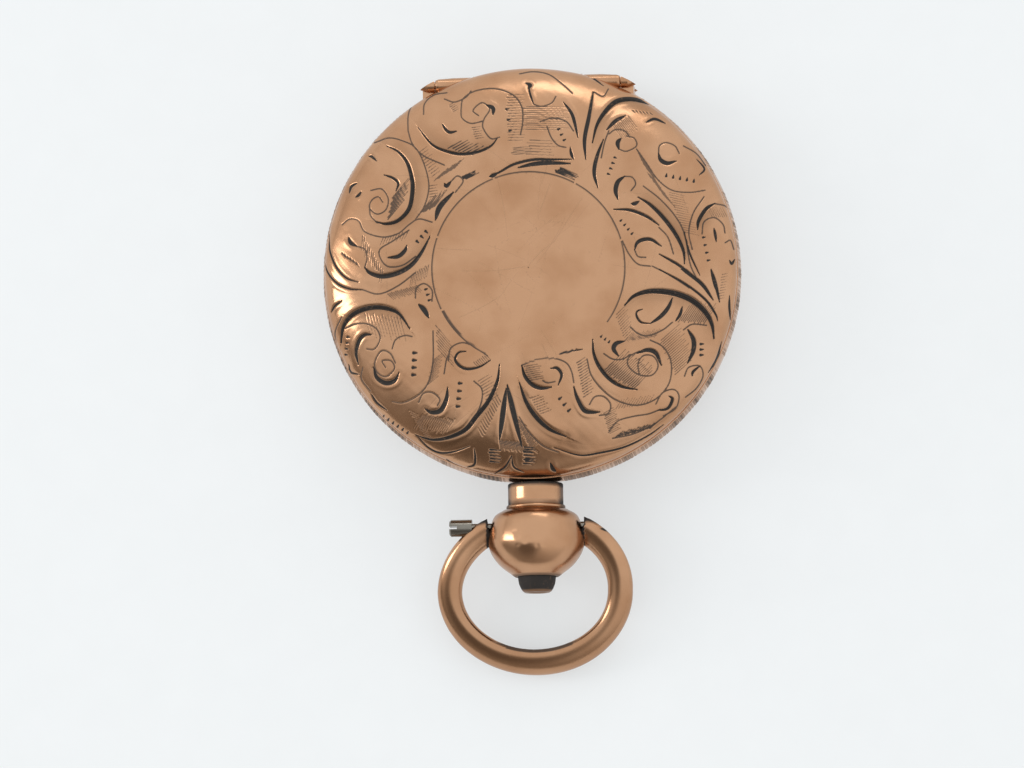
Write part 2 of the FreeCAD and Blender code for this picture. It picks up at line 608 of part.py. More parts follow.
def barrel_arbor():
    steps = [(0.45, -0.93, -0.2), (1.3, -0.25, 0.5), (0.8, 0.5, 1.4), (0.9, 1.4, 2.33)]
    return fuse_all([arbor(BARREL, steps), square_bar(1.2, 2.33, 3.3, BARREL)])


def ratchet_wheel():
    points = []
    for n in range(RATCHET_TEETH):
        a = 360 * n / RATCHET_TEETH
        for r, offset in ((RATCHET_R, 0), (RATCHET_R - 0.28, 2.0)):
            p = polar(r, a + offset, BARREL)
            points.append((p.x, p.y))
    return prism(points, *RATCHET_Z).cut(square_bar(1.22, 2, 3, BARREL))


def click():
    """Pawl that lies beside the ratchet, drawn lifted just clear of its teeth."""
    toward = direction(CLICK_AT, BARREL)
    body = cyl(0.5, RATCHET_Z[0], RATCHET_Z[1], CLICK_AT)
    tip = CLICK_AT + polar(1.5, toward + 30)
    base_a, base_b = CLICK_AT + polar(0.45, toward + 110), CLICK_AT + polar(0.45, toward - 60)
    nose = prism([(base_b.x, base_b.y), (tip.x, tip.y), (base_a.x, base_a.y)], *RATCHET_Z)
    pivot = cyl(0.2, BAR_Z[1] - 0.5, RATCHET_Z[0], CLICK_AT)
    reach = cyl(RATCHET_R + CLEAR, 2, 3, BARREL)
    return fuse_all([body, nose, pivot]).cut(reach)


def click_spring():
    outward = direction(BARREL, CLICK_AT)
    at = CLICK_AT + polar(0.62, outward)
    strip = box(at.x, at.x + 0.1, at.y - 0.9, at.y + 1.1, RATCHET_Z[0], RATCHET_Z[1] - 0.05)
    foot = box(at.x, at.x + 0.5, at.y - 1.2, at.y - 0.8, BAR_Z[1], RATCHET_Z[1] - 0.05)
    return turned(fuse_all([strip, foot]), outward, at)


def spiral_strip(at, r0, r1, turns, thick, z0, z1, end_arc_deg=0):
    """A flat spiral spring: a face between two offset spirals, extruded."""
    def point(t, side):
        flat = end_arc_deg / 360
        share = min(t, turns) / turns
        r = r0 + (r1 - r0) * share + side * thick / 2
        return polar(r, 360 * min(t, turns + flat), at) + V(0, 0, z0)

    end = turns + end_arc_deg / 360
    count = max(8, int(end * 12))
    inner = [point(end * n / count, -1) for n in range(count + 1)]
    outer = [point(end * n / count, 1) for n in range(count + 1)]
    a, b = smooth(inner), smooth(outer)
    wire = Part.Wire([a, Part.makeLine(inner[-1], outer[-1]), b, Part.makeLine(outer[0], inner[0])])
    return Part.Face(wire).extrude(V(0, 0, z1 - z0))


# ---- train ----
TRAIN_ARBOR = ((PIVOT_R, 0.06, 0.36), (0.28, 0.34, 1.7), (PIVOT_R, 1.68, 2.1))  # radius, bottom, top


def centre_pinion():
    body = fuse_all([
        cyl(0.55, PLATE_Z[0] + 0.02, 0.5), leaves(CENTRE_LEAVES, BARREL_M, 0.35, 0.85, CENTRE, BARREL),
        cyl(0.62, 0.8, 1.4), cyl(0.46, 1.35, 2.28),
    ])
    return body.cut(cyl(0.28, -5, 5))


def set_arbor():
    """Thin steel rod through the hollow centre arbor, with the setting square at its back end."""
    rod = cyl(0.25, -3.42, 2.4)
    shoulder = cyl(0.6, 2.36, 2.5)
    return fuse_all([rod, shoulder, square_bar(0.9, 2.5, 3.3, CENTRE)])


def cannon_pinion():
    body = fuse_all([leaves(CANNON_LEAVES, CANNON_M, -1.36, -0.99, CENTRE, MINUTE), cyl(0.5, -3.2, -0.99)])
    return body.cut(cyl(0.27, -5, 5))


def minute_wheel():
    toothed = gear(MINUTE_TEETH, CANNON_M, WHEEL_FLANK, -1.28, -1.05, MINUTE, direction(MINUTE, CENTRE))
    pinion = leaves(MINUTE_LEAVES, HOUR_M, -1.78, -1.28, MINUTE, CENTRE)
    return fuse_all([toothed, pinion]).cut(cyl(0.23, -5, 5, MINUTE))


def hour_wheel():
    toothed = gear(HOUR_TEETH, HOUR_M, WHEEL_FLANK, -1.72, -1.48, CENTRE, direction(CENTRE, MINUTE))
    pipe = cyl(0.85, -2.72, -1.48)
    return fuse_all([toothed, pipe]).cut(cyl(0.55, -5, 5))


def third_pinion():
    pinion = leaves(THIRD_LEAVES, CENTRE_M, 0.9, 1.35, THIRD, CENTRE)
    return fuse_all([arbor(THIRD, TRAIN_ARBOR), pinion])


def fourth_pinion():
    pinion = leaves(FOURTH_LEAVES, THIRD_M, 0.4, 0.85, FOURTH, THIRD)
    return fuse_all([arbor(FOURTH, TRAIN_ARBOR), pinion])


def escape_pinion():
    steps = [(PIVOT_R, 0.06, 0.36), (0.18, 0.34, 1.32), (PIVOT_R, 1.3, 1.56)]
    return fuse_all([arbor(ESCAPE, steps), leaves(ESCAPE_LEAVES, FOURTH_M, 0.9, 1.22, ESCAPE, FOURTH)])


def escape_wheel():
    """Cylinder-escapement wheel: fifteen slanted teeth that stand up from the rim."""
    z0, z1, tip_z = 0.48, 0.62, 0.84
    hub, rim = tube(0.5, 0.2, z0, z1, ESCAPE), tube(1.5, 1.2, z0, z1, ESCAPE)
    arms = []
    for n in range(3):
        arm = box(ESCAPE.x + 0.4, ESCAPE.x + 1.3, ESCAPE.y - 0.12, ESCAPE.y + 0.12, z0, z1)
        arms.append(turned(arm, 120 * n, ESCAPE))
    teeth = []
    for n in range(ESCAPE_TEETH):
        a = 360 * n / ESCAPE_TEETH
        corners = [(1.4, a - 4), (1.4, a + 4), (1.85, a + 8), (1.93, a + 2), (1.6, a - 4)]
        points = [polar(r, deg, ESCAPE) for r, deg in corners]
        teeth.append(prism([(p.x, p.y) for p in points], z0, tip_z))
    return fuse_all([hub, rim] + arms + teeth)


def balance_wheel():
    z0, z1 = 1.76, 2.0
    rim = tube(4.95, 4.45, z0, z1, BALANCE)
    hub = cyl(0.75, z0, z1, BALANCE)
    arm = box(BALANCE.x, BALANCE.x + 4.6, BALANCE.y - 0.3, BALANCE.y + 0.3, z0, z1 - 0.06)
    arms = [turned(arm, 120 * n + 15, BALANCE) for n in range(3)]
    return fuse_all([rim, hub] + arms).cut(cyl(0.36, 0, 5, BALANCE))


def balance_staff():
    """The cylinder, cut away where the escape teeth pass, and the staff above it."""
    steps = [(PIVOT_R, 0.06, 0.36), (0.34, 0.34, 2.08), (0.28, 2.06, 2.42), (PIVOT_R, 2.4, 2.84)]
    staff = arbor(BALANCE, steps)
    toward = direction(BALANCE, ESCAPE)
    mouth = box(BALANCE.x + 0.02, BALANCE.x + 1, BALANCE.y - 1, BALANCE.y + 1, 0.55, 0.95)
    return staff.cut(turned(mouth, toward, BALANCE))


def collet():
    return tube(0.6, 0.3, 2.1, 2.32, BALANCE)


SPRING_END_DEG, SPRING_TURNS = 200, 7
STUD_AT = polar(2.5, SPRING_END_DEG + 8, BALANCE)
REGULATOR_DEG = 60


def balance_spring():
    return spiral_strip(BALANCE, 0.68, 2.5, SPRING_TURNS, 0.05, 2.12, 2.28, end_arc_deg=SPRING_END_DEG)


def spring_stud():
    return cyl(0.28, 2.06, BALANCE_COCK_Z[1], STUD_AT).cut(cyl(2.56, 2.0, 2.34, BALANCE))


def balance_cock():
    cock = finger(FEET["balance"], BALANCE, BALANCE_COCK_Z, 1.5, 1.75, PLATE_Z[1])
    ear = finger(BALANCE, STUD_AT, BALANCE_COCK_Z, 0.9, 0.55, BALANCE_COCK_Z[0])
    return drilled(fuse_all([cock, ear]), ("balance",), (BALANCE,)).cut(cyl(0.29, 0, 5, STUD_AT))


def regulator():
    """Index that turns on the balance cock's boss, with two curb pins beside the spring's outer coil."""
    z0, z1 = BALANCE_COCK_Z[1] + 0.04, BALANCE_COCK_Z[1] + 0.18
    ring = tube(1.35, 0.75, z0, z1, BALANCE)

    def pointer(deg, length, root_half, tip_half):
        corners = [(1.1, -root_half), (length, -tip_half), (length, tip_half), (1.1, root_half)]
        points = [polar(r, deg + a, BALANCE) for r, a in corners]
        return prism([(p.x, p.y) for p in points], z0, z1)

    shapes = [ring, pointer(REGULATOR_DEG + 180, 4.6, 14, 1), pointer(REGULATOR_DEG, 2.8, 16, 7)]
    shapes += [cyl(0.045, 2.08, z0 + 0.05, polar(r, REGULATOR_DEG, BALANCE)) for r in (2.4, 2.6)]
    return fuse_all(shapes)


# ---- dial and hands ----
TWELVE_DEG = 180  # the dial's twelve lies towards -X, so that three is at the pendant
HOUR_HAND_DEG, MINUTE_HAND_DEG = TWELVE_DEG + 304.5, TWELVE_DEG + 54  # nine minutes past ten


def dial():
    plate = tube(DIAL_R, 1.0, *DIAL_Z)
    feet = [cyl(0.35, DIAL_Z[1] - 0.1, PLATE_Z[0] + 0.9, polar(DIAL_FOOT_R, a)) for a in DIAL_FEET]
    return fuse_all([plate] + feet)


def hand(deg, z0, z1, length, eye_r, hub_r, hub_bore, tail=1.8):
    """A spade hand: hub, slim stem, round eye and pointed tip."""
    stem_w, neck = 0.16, length * 0.66
    outline = [(0, -stem_w), (neck, -stem_w * 0.8), (neck, stem_w * 0.8), (0, stem_w)]
    tip = [(neck + eye_r * 0.6, -eye_r * 0.75), (length, 0), (neck + eye_r * 0.6, eye_r * 0.75)]
    shapes = [prism(outline, z0, z1), prism(tip, z0, z1), cyl(eye_r, z0, z1, V(neck + eye_r * 0.5, 0, 0))]
    shapes += [cyl(hub_r, z0, z1 + 0.05), prism([(-tail, -0.2), (0, -0.14), (0, 0.14), (-tail, 0.2)], z0, z1)]
    return turned(fuse_all(shapes).cut(cyl(hub_bore, -9, 9)), deg)


def build():
    os.makedirs("parts", exist_ok=True)
    for old in os.listdir("parts"):
        os.remove(os.path.join("parts", old))

    save("case_band", case_band())
    save("back_cover", outer_cover(BACK_TOP, KNUCKLE_INNER + 2 * CLEAR))
    save("front_cover", flipped(outer_cover(FRONT_TOP, KNUCKLE_MID + 2 * CLEAR)))
    save("cuvette", cuvette())
    save("bezel", flipped(bezel()))
    save("crystal", flipped(crystal()))
    save("back_hinge_pin", hinge_pin())
    save("front_hinge_pin", flipped(hinge_pin()))
    save("lock_spring", case_spring(LOCK_SCREW_DEG, -86, -90, 0.95, CATCH_R, -2.2, LOCK_SCREW_DEG))
    save("lift_spring", case_spring(86, LIFT_SCREW_DEG, 90, 0.8, 16.5, -2.1, LIFT_SCREW_DEG))
    save("spring_screws", spring_screws())
    save("pendant_neck", pendant_neck())
    save("pendant_ball", pendant_ball())
    save("push_piece", push_piece())
    save("bow", bow())
    save("bow_screw", bow_screw())

    save("main_plate", main_plate())
    save("barrel_bar", barrel_bar())
    save("centre_bar", cut_all(
        finger(FEET["centre"], CENTRE, BAR_Z, 1.6, 1.35, PLATE_Z[1]),
        [cyl(0.52, -5, 5, CENTRE), cyl(SCREW_R + 0.02, -5, 5, FEET["centre"])],
    ))
    for name, end in (("third", THIRD), ("fourth", FOURTH)):
        bar = finger(FEET[name], end, BAR_Z, 1.35, 0.8, PLATE_Z[1])
        save(f"{name}_wheel_bar", drilled(bar, (name,), (end,)))
    cock = finger(FEET["escape"], ESCAPE, ESCAPE_COCK_Z, 1.25, 0.75, PLATE_Z[1])
    save("escape_cock", drilled(cock, ("escape",), (ESCAPE,)))
    save("balance_cock", balance_cock())
    save("bar_screws", bar_screws())
    save("jewels", jewels())
    save("case_screws", Part.makeCompound(
        [slotted_screw(polar(14.9, a), PLATE_Z[1], -0.25, head_r=1.1, slot_deg=a) for a in CASE_SCREW_DEG]
    ))

    save("barrel", barrel())
    save("barrel_cover", barrel_cover())
    save("mainspring", spiral_strip(BARREL, 1.55, 5.2, 9, 0.14, -0.25, 0.48))
    save("barrel_arbor", barrel_arbor())
    save("ratchet_wheel", ratchet_wheel())
    save("click", click())
    save("click_spring", click_spring())

    save("centre_wheel", wheel(CENTRE_TEETH, CENTRE_M, 1.0, 1.2, CENTRE, THIRD, 0.64))
    save("centre_pinion", centre_pinion())
    save("set_arbor", set_arbor())
    save("third_wheel", wheel(THIRD_TEETH, THIRD_M, 0.5, 0.7, THIRD, FOURTH, 0.3, arms=4))
    save("third_pinion", third_pinion())
    save("fourth_wheel", wheel(FOURTH_TEETH, FOURTH_M, 1.0, 1.15, FOURTH, ESCAPE, 0.3, arms=4))
    save("fourth_pinion", fourth_pinion())
    save("escape_wheel", escape_wheel())
    save("escape_pinion", escape_pinion())
    save("balance_wheel", balance_wheel())
    save("balance_staff", balance_staff())
    save("balance_collet", collet())
    save("balance_spring", balance_spring())
    save("spring_stud", spring_stud())
    save("regulator", regulator())

    save("cannon_pinion", cannon_pinion())
    save("minute_wheel", minute_wheel())
    save("hour_wheel", hour_wheel())
    save("dial", dial())
    save("hour_hand", hand(HOUR_HAND_DEG, -2.66, -2.5, 7.6, 0.75, 1.15, 0.87))
    save("minute_hand", hand(MINUTE_HAND_DEG, -3.14, -3.0, 12.2, 0.6, 0.85, 0.52))


build()
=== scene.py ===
"""Looks for the engraved rose-gold fob watch: scroll-engraved covers, aged gold, steel and enamel."""

import json
import math

import bpy
import numpy as np
from mathutils import Matrix, Quaternion, Vector

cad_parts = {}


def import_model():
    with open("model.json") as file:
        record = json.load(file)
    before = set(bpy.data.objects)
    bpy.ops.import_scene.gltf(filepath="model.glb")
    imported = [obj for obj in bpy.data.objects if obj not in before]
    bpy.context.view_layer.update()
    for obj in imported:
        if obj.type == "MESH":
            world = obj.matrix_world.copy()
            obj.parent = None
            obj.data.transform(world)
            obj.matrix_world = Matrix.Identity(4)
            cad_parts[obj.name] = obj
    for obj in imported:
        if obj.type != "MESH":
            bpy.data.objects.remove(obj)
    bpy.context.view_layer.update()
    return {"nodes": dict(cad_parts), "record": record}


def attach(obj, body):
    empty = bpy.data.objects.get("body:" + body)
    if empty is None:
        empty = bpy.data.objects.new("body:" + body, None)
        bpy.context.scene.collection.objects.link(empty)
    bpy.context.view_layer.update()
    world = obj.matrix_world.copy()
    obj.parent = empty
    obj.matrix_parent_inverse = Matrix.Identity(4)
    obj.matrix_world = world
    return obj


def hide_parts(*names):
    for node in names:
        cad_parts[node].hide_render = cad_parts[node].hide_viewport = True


MM = 0.001

# ---- the case, in millimetres, as the CAD has it ----
COVER_R = 18.7
COVER_RIM = 1.78
COVER_LIP = 0.3
COVER_WALL = 0.45
BACK_TOP, FRONT_TOP = 5.3, 5.1
FLAT_R = 8.7
DOME_POWER = 2.2
HINGE_Y, HINGE_Z = 17.4, 1.76
HINGE_R, HINGE_FILED_R = 0.65, 19.65
BAND_R, BAND_EDGE_R, BAND_HALF = 19.0, 18.78, 1.75
PIVOT_Y = -22.95
BOW_DROOP = 15.5
BOW_CENTRE, BOW_ACROSS, BOW_ALONG, BOW_OPEN_DEG = 5.9, 7.75, 6.6, 27.0
BOW_GAP, WIRE_R = 4.38, 1.15
BOW_LEAN = 0.3  # the bow is bent this far to one side
NECK_START, NECK_END, NECK_BORE = -19.06, -21.45, 1.1
BALL = ((-21.45, 2.9), (-22.1, 3.82), (-23.7, 4.28), (-25.05, 4.23), (-26.4, 3.38), (-27.5, 2.0))
DIAL_Z = -2.25

# ---- the view the watch is seen from ----
VIEW_AZIMUTH, VIEW_ELEVATION = 28.5, 82.0
VIEW_DISTANCE = 0.62
VIEW_CENTRE = (-1.99, -9.90, 0.0)
VIEW_WIDTH = 92.9  # millimetres across the picture at the watch
VIEW_ROLL = 0.9  # degrees that the watch is turned anticlockwise in the picture


def view_direction():
    a, e = math.radians(VIEW_AZIMUTH), math.radians(VIEW_ELEVATION)
    return Vector((math.sin(a) * math.cos(e), -math.cos(a) * math.cos(e), math.sin(e)))


# ---- engraving ----
def smooth_path(points, per_span=9):
    """Catmull-Rom curve through the given points."""
    p = np.array(points, float)
    p = np.vstack([2 * p[0] - p[1], p, 2 * p[-1] - p[-2]])
    t = np.linspace(0, 1, per_span, endpoint=False)[:, None]
    spans = []
    for a, b, c, d in zip(p, p[1:], p[2:], p[3:]):
        curve = 2 * b + (c - a) * t + (2 * a - 5 * b + 4 * c - d) * t**2
        spans.append(0.5 * (curve + (3 * b - a - 3 * c + d) * t**3))
    return np.vstack(spans + [p[-2:-1]])


class Engraving:
    """How deep and how dark the cover is at each of its points. Places are in millimetres from the middle of
    the plain round field, as the cover is seen in the view."""

    def __init__(self, x, y):
        self.x, self.y = x, y
        self.depth = np.zeros(len(x))
        self.ink_and_shade = np.zeros(len(x))
        self.relief = np.zeros(len(x))

    def near(self, path, reach):
        """Which points lie in the box round the path."""
        lo, hi = path.min(0) - reach, path.max(0) + reach
        return np.flatnonzero((self.x > lo[0]) & (self.x < hi[0]) & (self.y > lo[1]) & (self.y < hi[1]))

    def measure(self, path, reach):
        """For each point near the path: its distance, its share of the way along, and its side of it."""
        rows = self.near(path, reach)
        q = np.stack([self.x[rows], self.y[rows]], 1)
        best = np.full(len(rows), 1e9)
        share, side = np.zeros(len(rows)), np.zeros(len(rows))
        last = len(path) - 1
        for n, (a, b) in enumerate(zip(path, path[1:])):
            along = b - a
            size = max(float(along @ along), 1e-9)
            t = np.clip(((q - a) @ along) / size, 0, 1)
            off = q - a - t[:, None] * along
            dist = np.hypot(off[:, 0], off[:, 1])
            closer = dist < best
            best[closer] = dist[closer]
            share[closer] = (n + t[closer]) / last
            side[closer] = np.sign(along[0] * off[closer, 1] - along[1] * off[closer, 0])
        return rows, best, share, side

    def groove(self, rows, dist, half, depth, ink_and_shade):
        """A V-shaped cut: deepest and darkest on its line."""
        shape = np.clip(1 - dist / np.maximum(half, 1e-6), 0, 1)
        self.depth[rows] = np.maximum(self.depth[rows], depth * np.minimum(1, shape * 1.6))
        self.ink_and_shade[rows] = np.maximum(self.ink_and_shade[rows], ink_and_shade * np.clip(shape * 2.6, 0, 1))

    def cut(self, width, *points, carve=0):
        """A bold stroke that swells in the middle and tapers away, as a square graver leaves it. carve slopes
        the metal down to the stroke on its left (1) or right (-1)."""
        path = smooth_path(points)
        rows, dist, share, side = self.measure(path, 2.0 if carve else width + 0.5)
        swell = np.clip(np.sin(np.pi * np.clip(share, 0.03, 0.97)), 0, 1) ** 0.6
        self.groove(rows, dist, (width / 2 + 0.03) * swell + 0.02, 0.09, 1.0)
        self.relief[rows] += 0.022 * np.exp(-(((dist - width / 2 - 0.22) / 0.16) ** 2)) * swell
        if carve:
            fall = np.exp(-((dist / 0.85) ** 2)) * swell
            self.relief[rows] -= np.where(side == carve, 0.12 * fall, 0)
            ridge = np.exp(-(((dist - 0.6) / 0.4) ** 2)) * swell
            self.relief[rows] += np.where(side == -carve, 0.06 * ridge, 0)

    def line(self, *points):
        """A fine outline, cut lightly."""
        path = smooth_path(points)
        rows, dist, _, _ = self.measure(path, 0.3)
        self.groove(rows, dist, np.full(len(rows), 0.095), 0.022, 0.62)

    def hatch(self, first, last, reach, count, width=0.07):
        """Straight parallel shading strokes; each starts between first and last and runs along reach."""
        first, last, reach = np.array(first), np.array(last), np.array(reach)
        count = round(count * 1.3)
        for n in range(count):
            share = n / max(count - 1, 1)
            start = first + (last - first) * share
            trim = 0.12 * math.sin(2.4 * n + count)  # the strokes are not all one length
            path = np.array([start - reach * trim * 0.5, start + reach * (1 - trim)])
            rows, dist, along, _ = self.measure(path, 0.3)
            half = (width / 2 + 0.025) * np.clip(1.3 - along, 0.6, 1)
            self.groove(rows, dist, half, 0.02 + width * 0.2, 0.36 + width * 2.4)

    def dots(self, first, last, count, width=0.16):
        """A row of small wedge-shaped punches."""
        first, last = np.array(first), np.array(last)
        across = np.array([-(last - first)[1], (last - first)[0]])
        across = across / np.linalg.norm(across) * width * 1.3
        for n in range(count):
            start = first + (last - first) * (n / max(count - 1, 1)) - across / 2
            rows, dist, along, _ = self.measure(np.array([start, start + across]), 0.4)
            self.groove(rows, dist, width / 2 * (1.2 - along) + 0.04, 0.05, 0.9)

    def scratches(self, count, reach, seed):
        """Hairlines from years of wear, at random within reach of the middle."""
        rng = np.random.default_rng(seed)
        for _ in range(count):
            at = rng.normal(0, reach / 2, 2)
            aim, size = rng.uniform(0, math.pi), rng.uniform(0.6, 3.2)
            run = np.array([math.cos(aim), math.sin(aim)]) * size
            bend = np.array([-run[1], run[0]]) * rng.normal(0, 0.06)
            rows, dist, _, _ = self.measure(smooth_path([at - run, at + bend, at + run], 4), 0.2)
            half = np.full(len(rows), 0.06)
            self.groove(rows, dist, half, rng.uniform(0.002, 0.008), rng.uniform(0.12, 0.24))

    def circle(self, radius, gaps):
        """The thin edge of the plain field, with gaps where scrolls run over it, as pairs of angles."""
        for start, end in gaps:
            angles = np.radians(np.linspace(start, end, 9))
            self.line(*[(radius * math.cos(a), radius * math.sin(a)) for a in angles])

    def finish(self):
        return np.clip(self.depth, 0, 1), np.clip(self.ink_and_shade, 0, 1), self.relief


def north_west(art):
    art.line(
        (-6.1, 14.5), (-5.9, 15.5), (-4.8, 16.2), (-3, 16.4), (-1.4, 15.8), (-0.6, 14.7), (-0.5, 13.3),
        (-0.7, 12.1),
    )
    art.line(
        (-4.5, 13.9), (-5, 14.4), (-4.2, 15.1), (-3.5, 14.5), (-4, 13.6), (-4.1, 12.8), (-3.4, 11.8),
        (-2.6, 11.9),
    )
    art.line((-6.1, 14.5), (-6, 13.7), (-5.2, 13.2), (-4.1, 13.4))
    art.cut(0.36, (-3.8, 14.9), (-3.2, 14.6), (-3.2, 14))
    art.cut(0.24, (-7.8, 13.2), (-7.5, 12.7), (-7.1, 12.4), (-6.5, 12.5))
    art.cut(
        0.26, (-10, 12.9), (-8.7, 11.3), (-7.2, 10.6), (-5.9, 10.4), (-4.5, 10.6), (-3.4, 11.1),
        (-2.8, 11.8), carve=1,
    )
    art.hatch((-7.2, 11), (-5.1, 10.3), (1.3, 0.7), 6, 0.12)
    art.hatch((-5.1, 12.8), (-4.8, 11.8), (0.7, 0.1), 5, 0.08)
    art.dots((-1.9, 14.5), (-1.6, 12.5), 3)
    art.line((-9.5, 14.1), (-9.4, 15.1), (-8.6, 15.9), (-7.4, 16.1))
    art.line((-7.6, 15.5), (-6.7, 15.2), (-5.7, 15.6), (-5.2, 16.2))
    art.line((-10.9, 12.6), (-10.9, 14), (-10.5, 15.1), (-9.4, 16.2))
    art.line((-10.9, 12.6), (-10.5, 11.4), (-9.5, 10.3), (-7.6, 9.4))
    art.hatch((-7.2, 14.9), (-6.8, 14.3), (0.5, 0.3), 4)
    art.cut(0.3, (-0.2, 16.9), (0.2, 16.7), (0, 16.4))
    art.cut(0.12, (0, 16.7), (0.2, 15.8), (0.5, 14.9))
    art.line((0.5, 14.9), (1.2, 14.7), (2.1, 15), (2.5, 15.6))
    art.line((-0.8, 17.8), (0.5, 18), (1.9, 17.7), (3.2, 16.7), (4, 15.9))
    art.hatch((-0.3, 14.7), (-0.4, 12.6), (3.7, -0.1), 9)
    art.hatch((-1.9, 15.8), (-1.8, 11.6), (1.4, 0), 14)
    art.hatch((0.1, 11.6), (-0.3, 10.3), (2.4, -0.1), 5)
    art.line((1.1, 13.3), (2.2, 13.6), (3.4, 13.3), (4.1, 12.4))
    art.line((1.7, 12.8), (2.1, 11.8), (2.7, 11.1), (3.4, 10.9))
    art.dots((2.8, 12.6), (3.3, 11.6), 3)


def west_upper(art):
    art.cut(
        0.34, (-12.9, 11.3), (-11.8, 10.7), (-11, 9.7), (-10.6, 8.4), (-10.5, 7.2), (-10.8, 5.5),
        (-11.8, 4.4), (-12.9, 4.1), (-13.8, 4.3), carve=1,
    )
    art.line(
        (-13.2, 6.1), (-13.6, 6.6), (-14.2, 6.3), (-14.4, 5.6), (-13.7, 5), (-12.9, 5.4), (-12.7, 6.4),
        (-13.3, 7.3), (-14.3, 7.2),
    )
    art.line((-14.4, 5.7), (-14.3, 4.9), (-13.7, 4.2))
    art.cut(0.2, (-13.1, 8.6), (-12.3, 8.3), (-11.8, 7.8), (-12, 7.1))
    art.hatch((-12.3, 6.5), (-12.7, 4.5), (1.5, 1.8), 7, 0.11)
    art.cut(0.2, (-14.5, 10.4), (-14.2, 10.3), (-13.8, 9.9))
    art.cut(0.2, (-16.3, 7), (-16.1, 7.6), (-15.6, 7.9))
    art.cut(0.2, (-15.7, 6.6), (-15.4, 6.8), (-15.2, 7.1))
    art.line(
        (-16.9, 4.1), (-16.2, 4.6), (-15.4, 4.4), (-14.8, 3.4), (-13.2, 2.9), (-11.8, 3.2), (-10.8, 4),
        (-9.9, 4.5), (-8.7, 4.2),
    )
    art.line(
        (-14, 11.6), (-12.7, 12), (-11.4, 11.7), (-10.2, 11), (-9.4, 9.4), (-9, 7.5), (-9.4, 5.7),
        (-10.2, 4.5),
    )
    art.hatch((-9.9, 10.6), (-8.7, 8.4), (0.7, 0.5), 8)
    art.hatch((-8.5, 8), (-6.7, 9.1), (0.9, 0.9), 7, 0.08)
    art.hatch((-6, 8.3), (-5.7, 8.1), (1.1, 0.5), 3, 0.14)
    art.hatch((-9.8, 5), (-8.5, 5.6), (1.1, 1.5), 6, 0.1)
    art.cut(0.5, (-8.4, 4.4), (-8, 5.6), (-6.8, 6.9))
    art.cut(0.34, (-7.6, 7.7), (-7.4, 7.5), (-7, 7.9))
    art.line((-7, 7.9), (-6.4, 8.4), (-5.9, 7.9), (-6.6, 6.9))
    art.hatch((-9, 7.5), (-8.9, 6.5), (0.7, 0.1), 4)


def west_middle(art):
    art.cut(
        0.46, (-14.8, 0.1), (-14.3, -0.4), (-13.2, -0.7), (-11.8, -0.4), (-10.6, 0.3), (-9.7, 1.4),
        (-8.9, 2.9), carve=1,
    )
    art.cut(0.36, (-12.7, 1), (-11.8, 1.1), (-11.2, 1.6), (-11, 2.1))
    art.cut(0.32, (-16.3, 2.9), (-16.1, 2.4), (-15.6, 2.1))
    art.line((-14.8, 0.2), (-14.6, 1), (-14.8, 1.8), (-15.6, 2.1))
    art.line((-10.8, 3.5), (-12.3, 2.5), (-13.4, 1.8), (-13.4, 1), (-12.7, 0.2), (-11.4, 0.3), (-10.2, 1.1))
    art.hatch((-15, 3.1), (-13.2, -0.1), (-0.1, -1.3), 9, 0.08)
    art.hatch((-13.1, 2.9), (-10.9, 3.4), (-0.3, -0.7), 8, 0.08)
    art.dots((-9.2, 3.3), (-10, 2.4), 3, 0.2)
    art.cut(0.13, (-18.1, 2.9), (-18, 1.6), (-17.4, 0.2), (-16.5, -0.8), (-15.4, -1.2))
    art.cut(0.13, (-18.6, 1), (-18.2, -0.3), (-17.3, -1.3), (-16.2, -1.8), (-15, -1.9))
    art.hatch((-16.9, 1.5), (-15.6, 0.6), (0.3, -0.4), 5, 0.12)
    art.cut(0.08, (-18.2, 4.8), (-18.2, 3.7), (-18.1, 2.9))
    art.hatch((-10.5, -0.5), (-9, 0.3), (-0.2, -1.1), 8)
    art.line((-15, -1.9), (-13.5, -2.3), (-11.8, -1.6), (-10.2, -0.4))
    art.hatch((-12.7, -2.3), (-10.1, -1.6), (0.5, -0.5), 12, 0.09)
    art.cut(0.46, (-9.9, -3.3), (-9.4, -3.8), (-9, -4.5))
    art.line((-10.2, -2.7), (-10.1, -1.8), (-9.4, -1.4), (-8.7, -2), (-8.7, -3))
    art.dots((-9.2, -1.9), (-8.9, -2.9), 3)


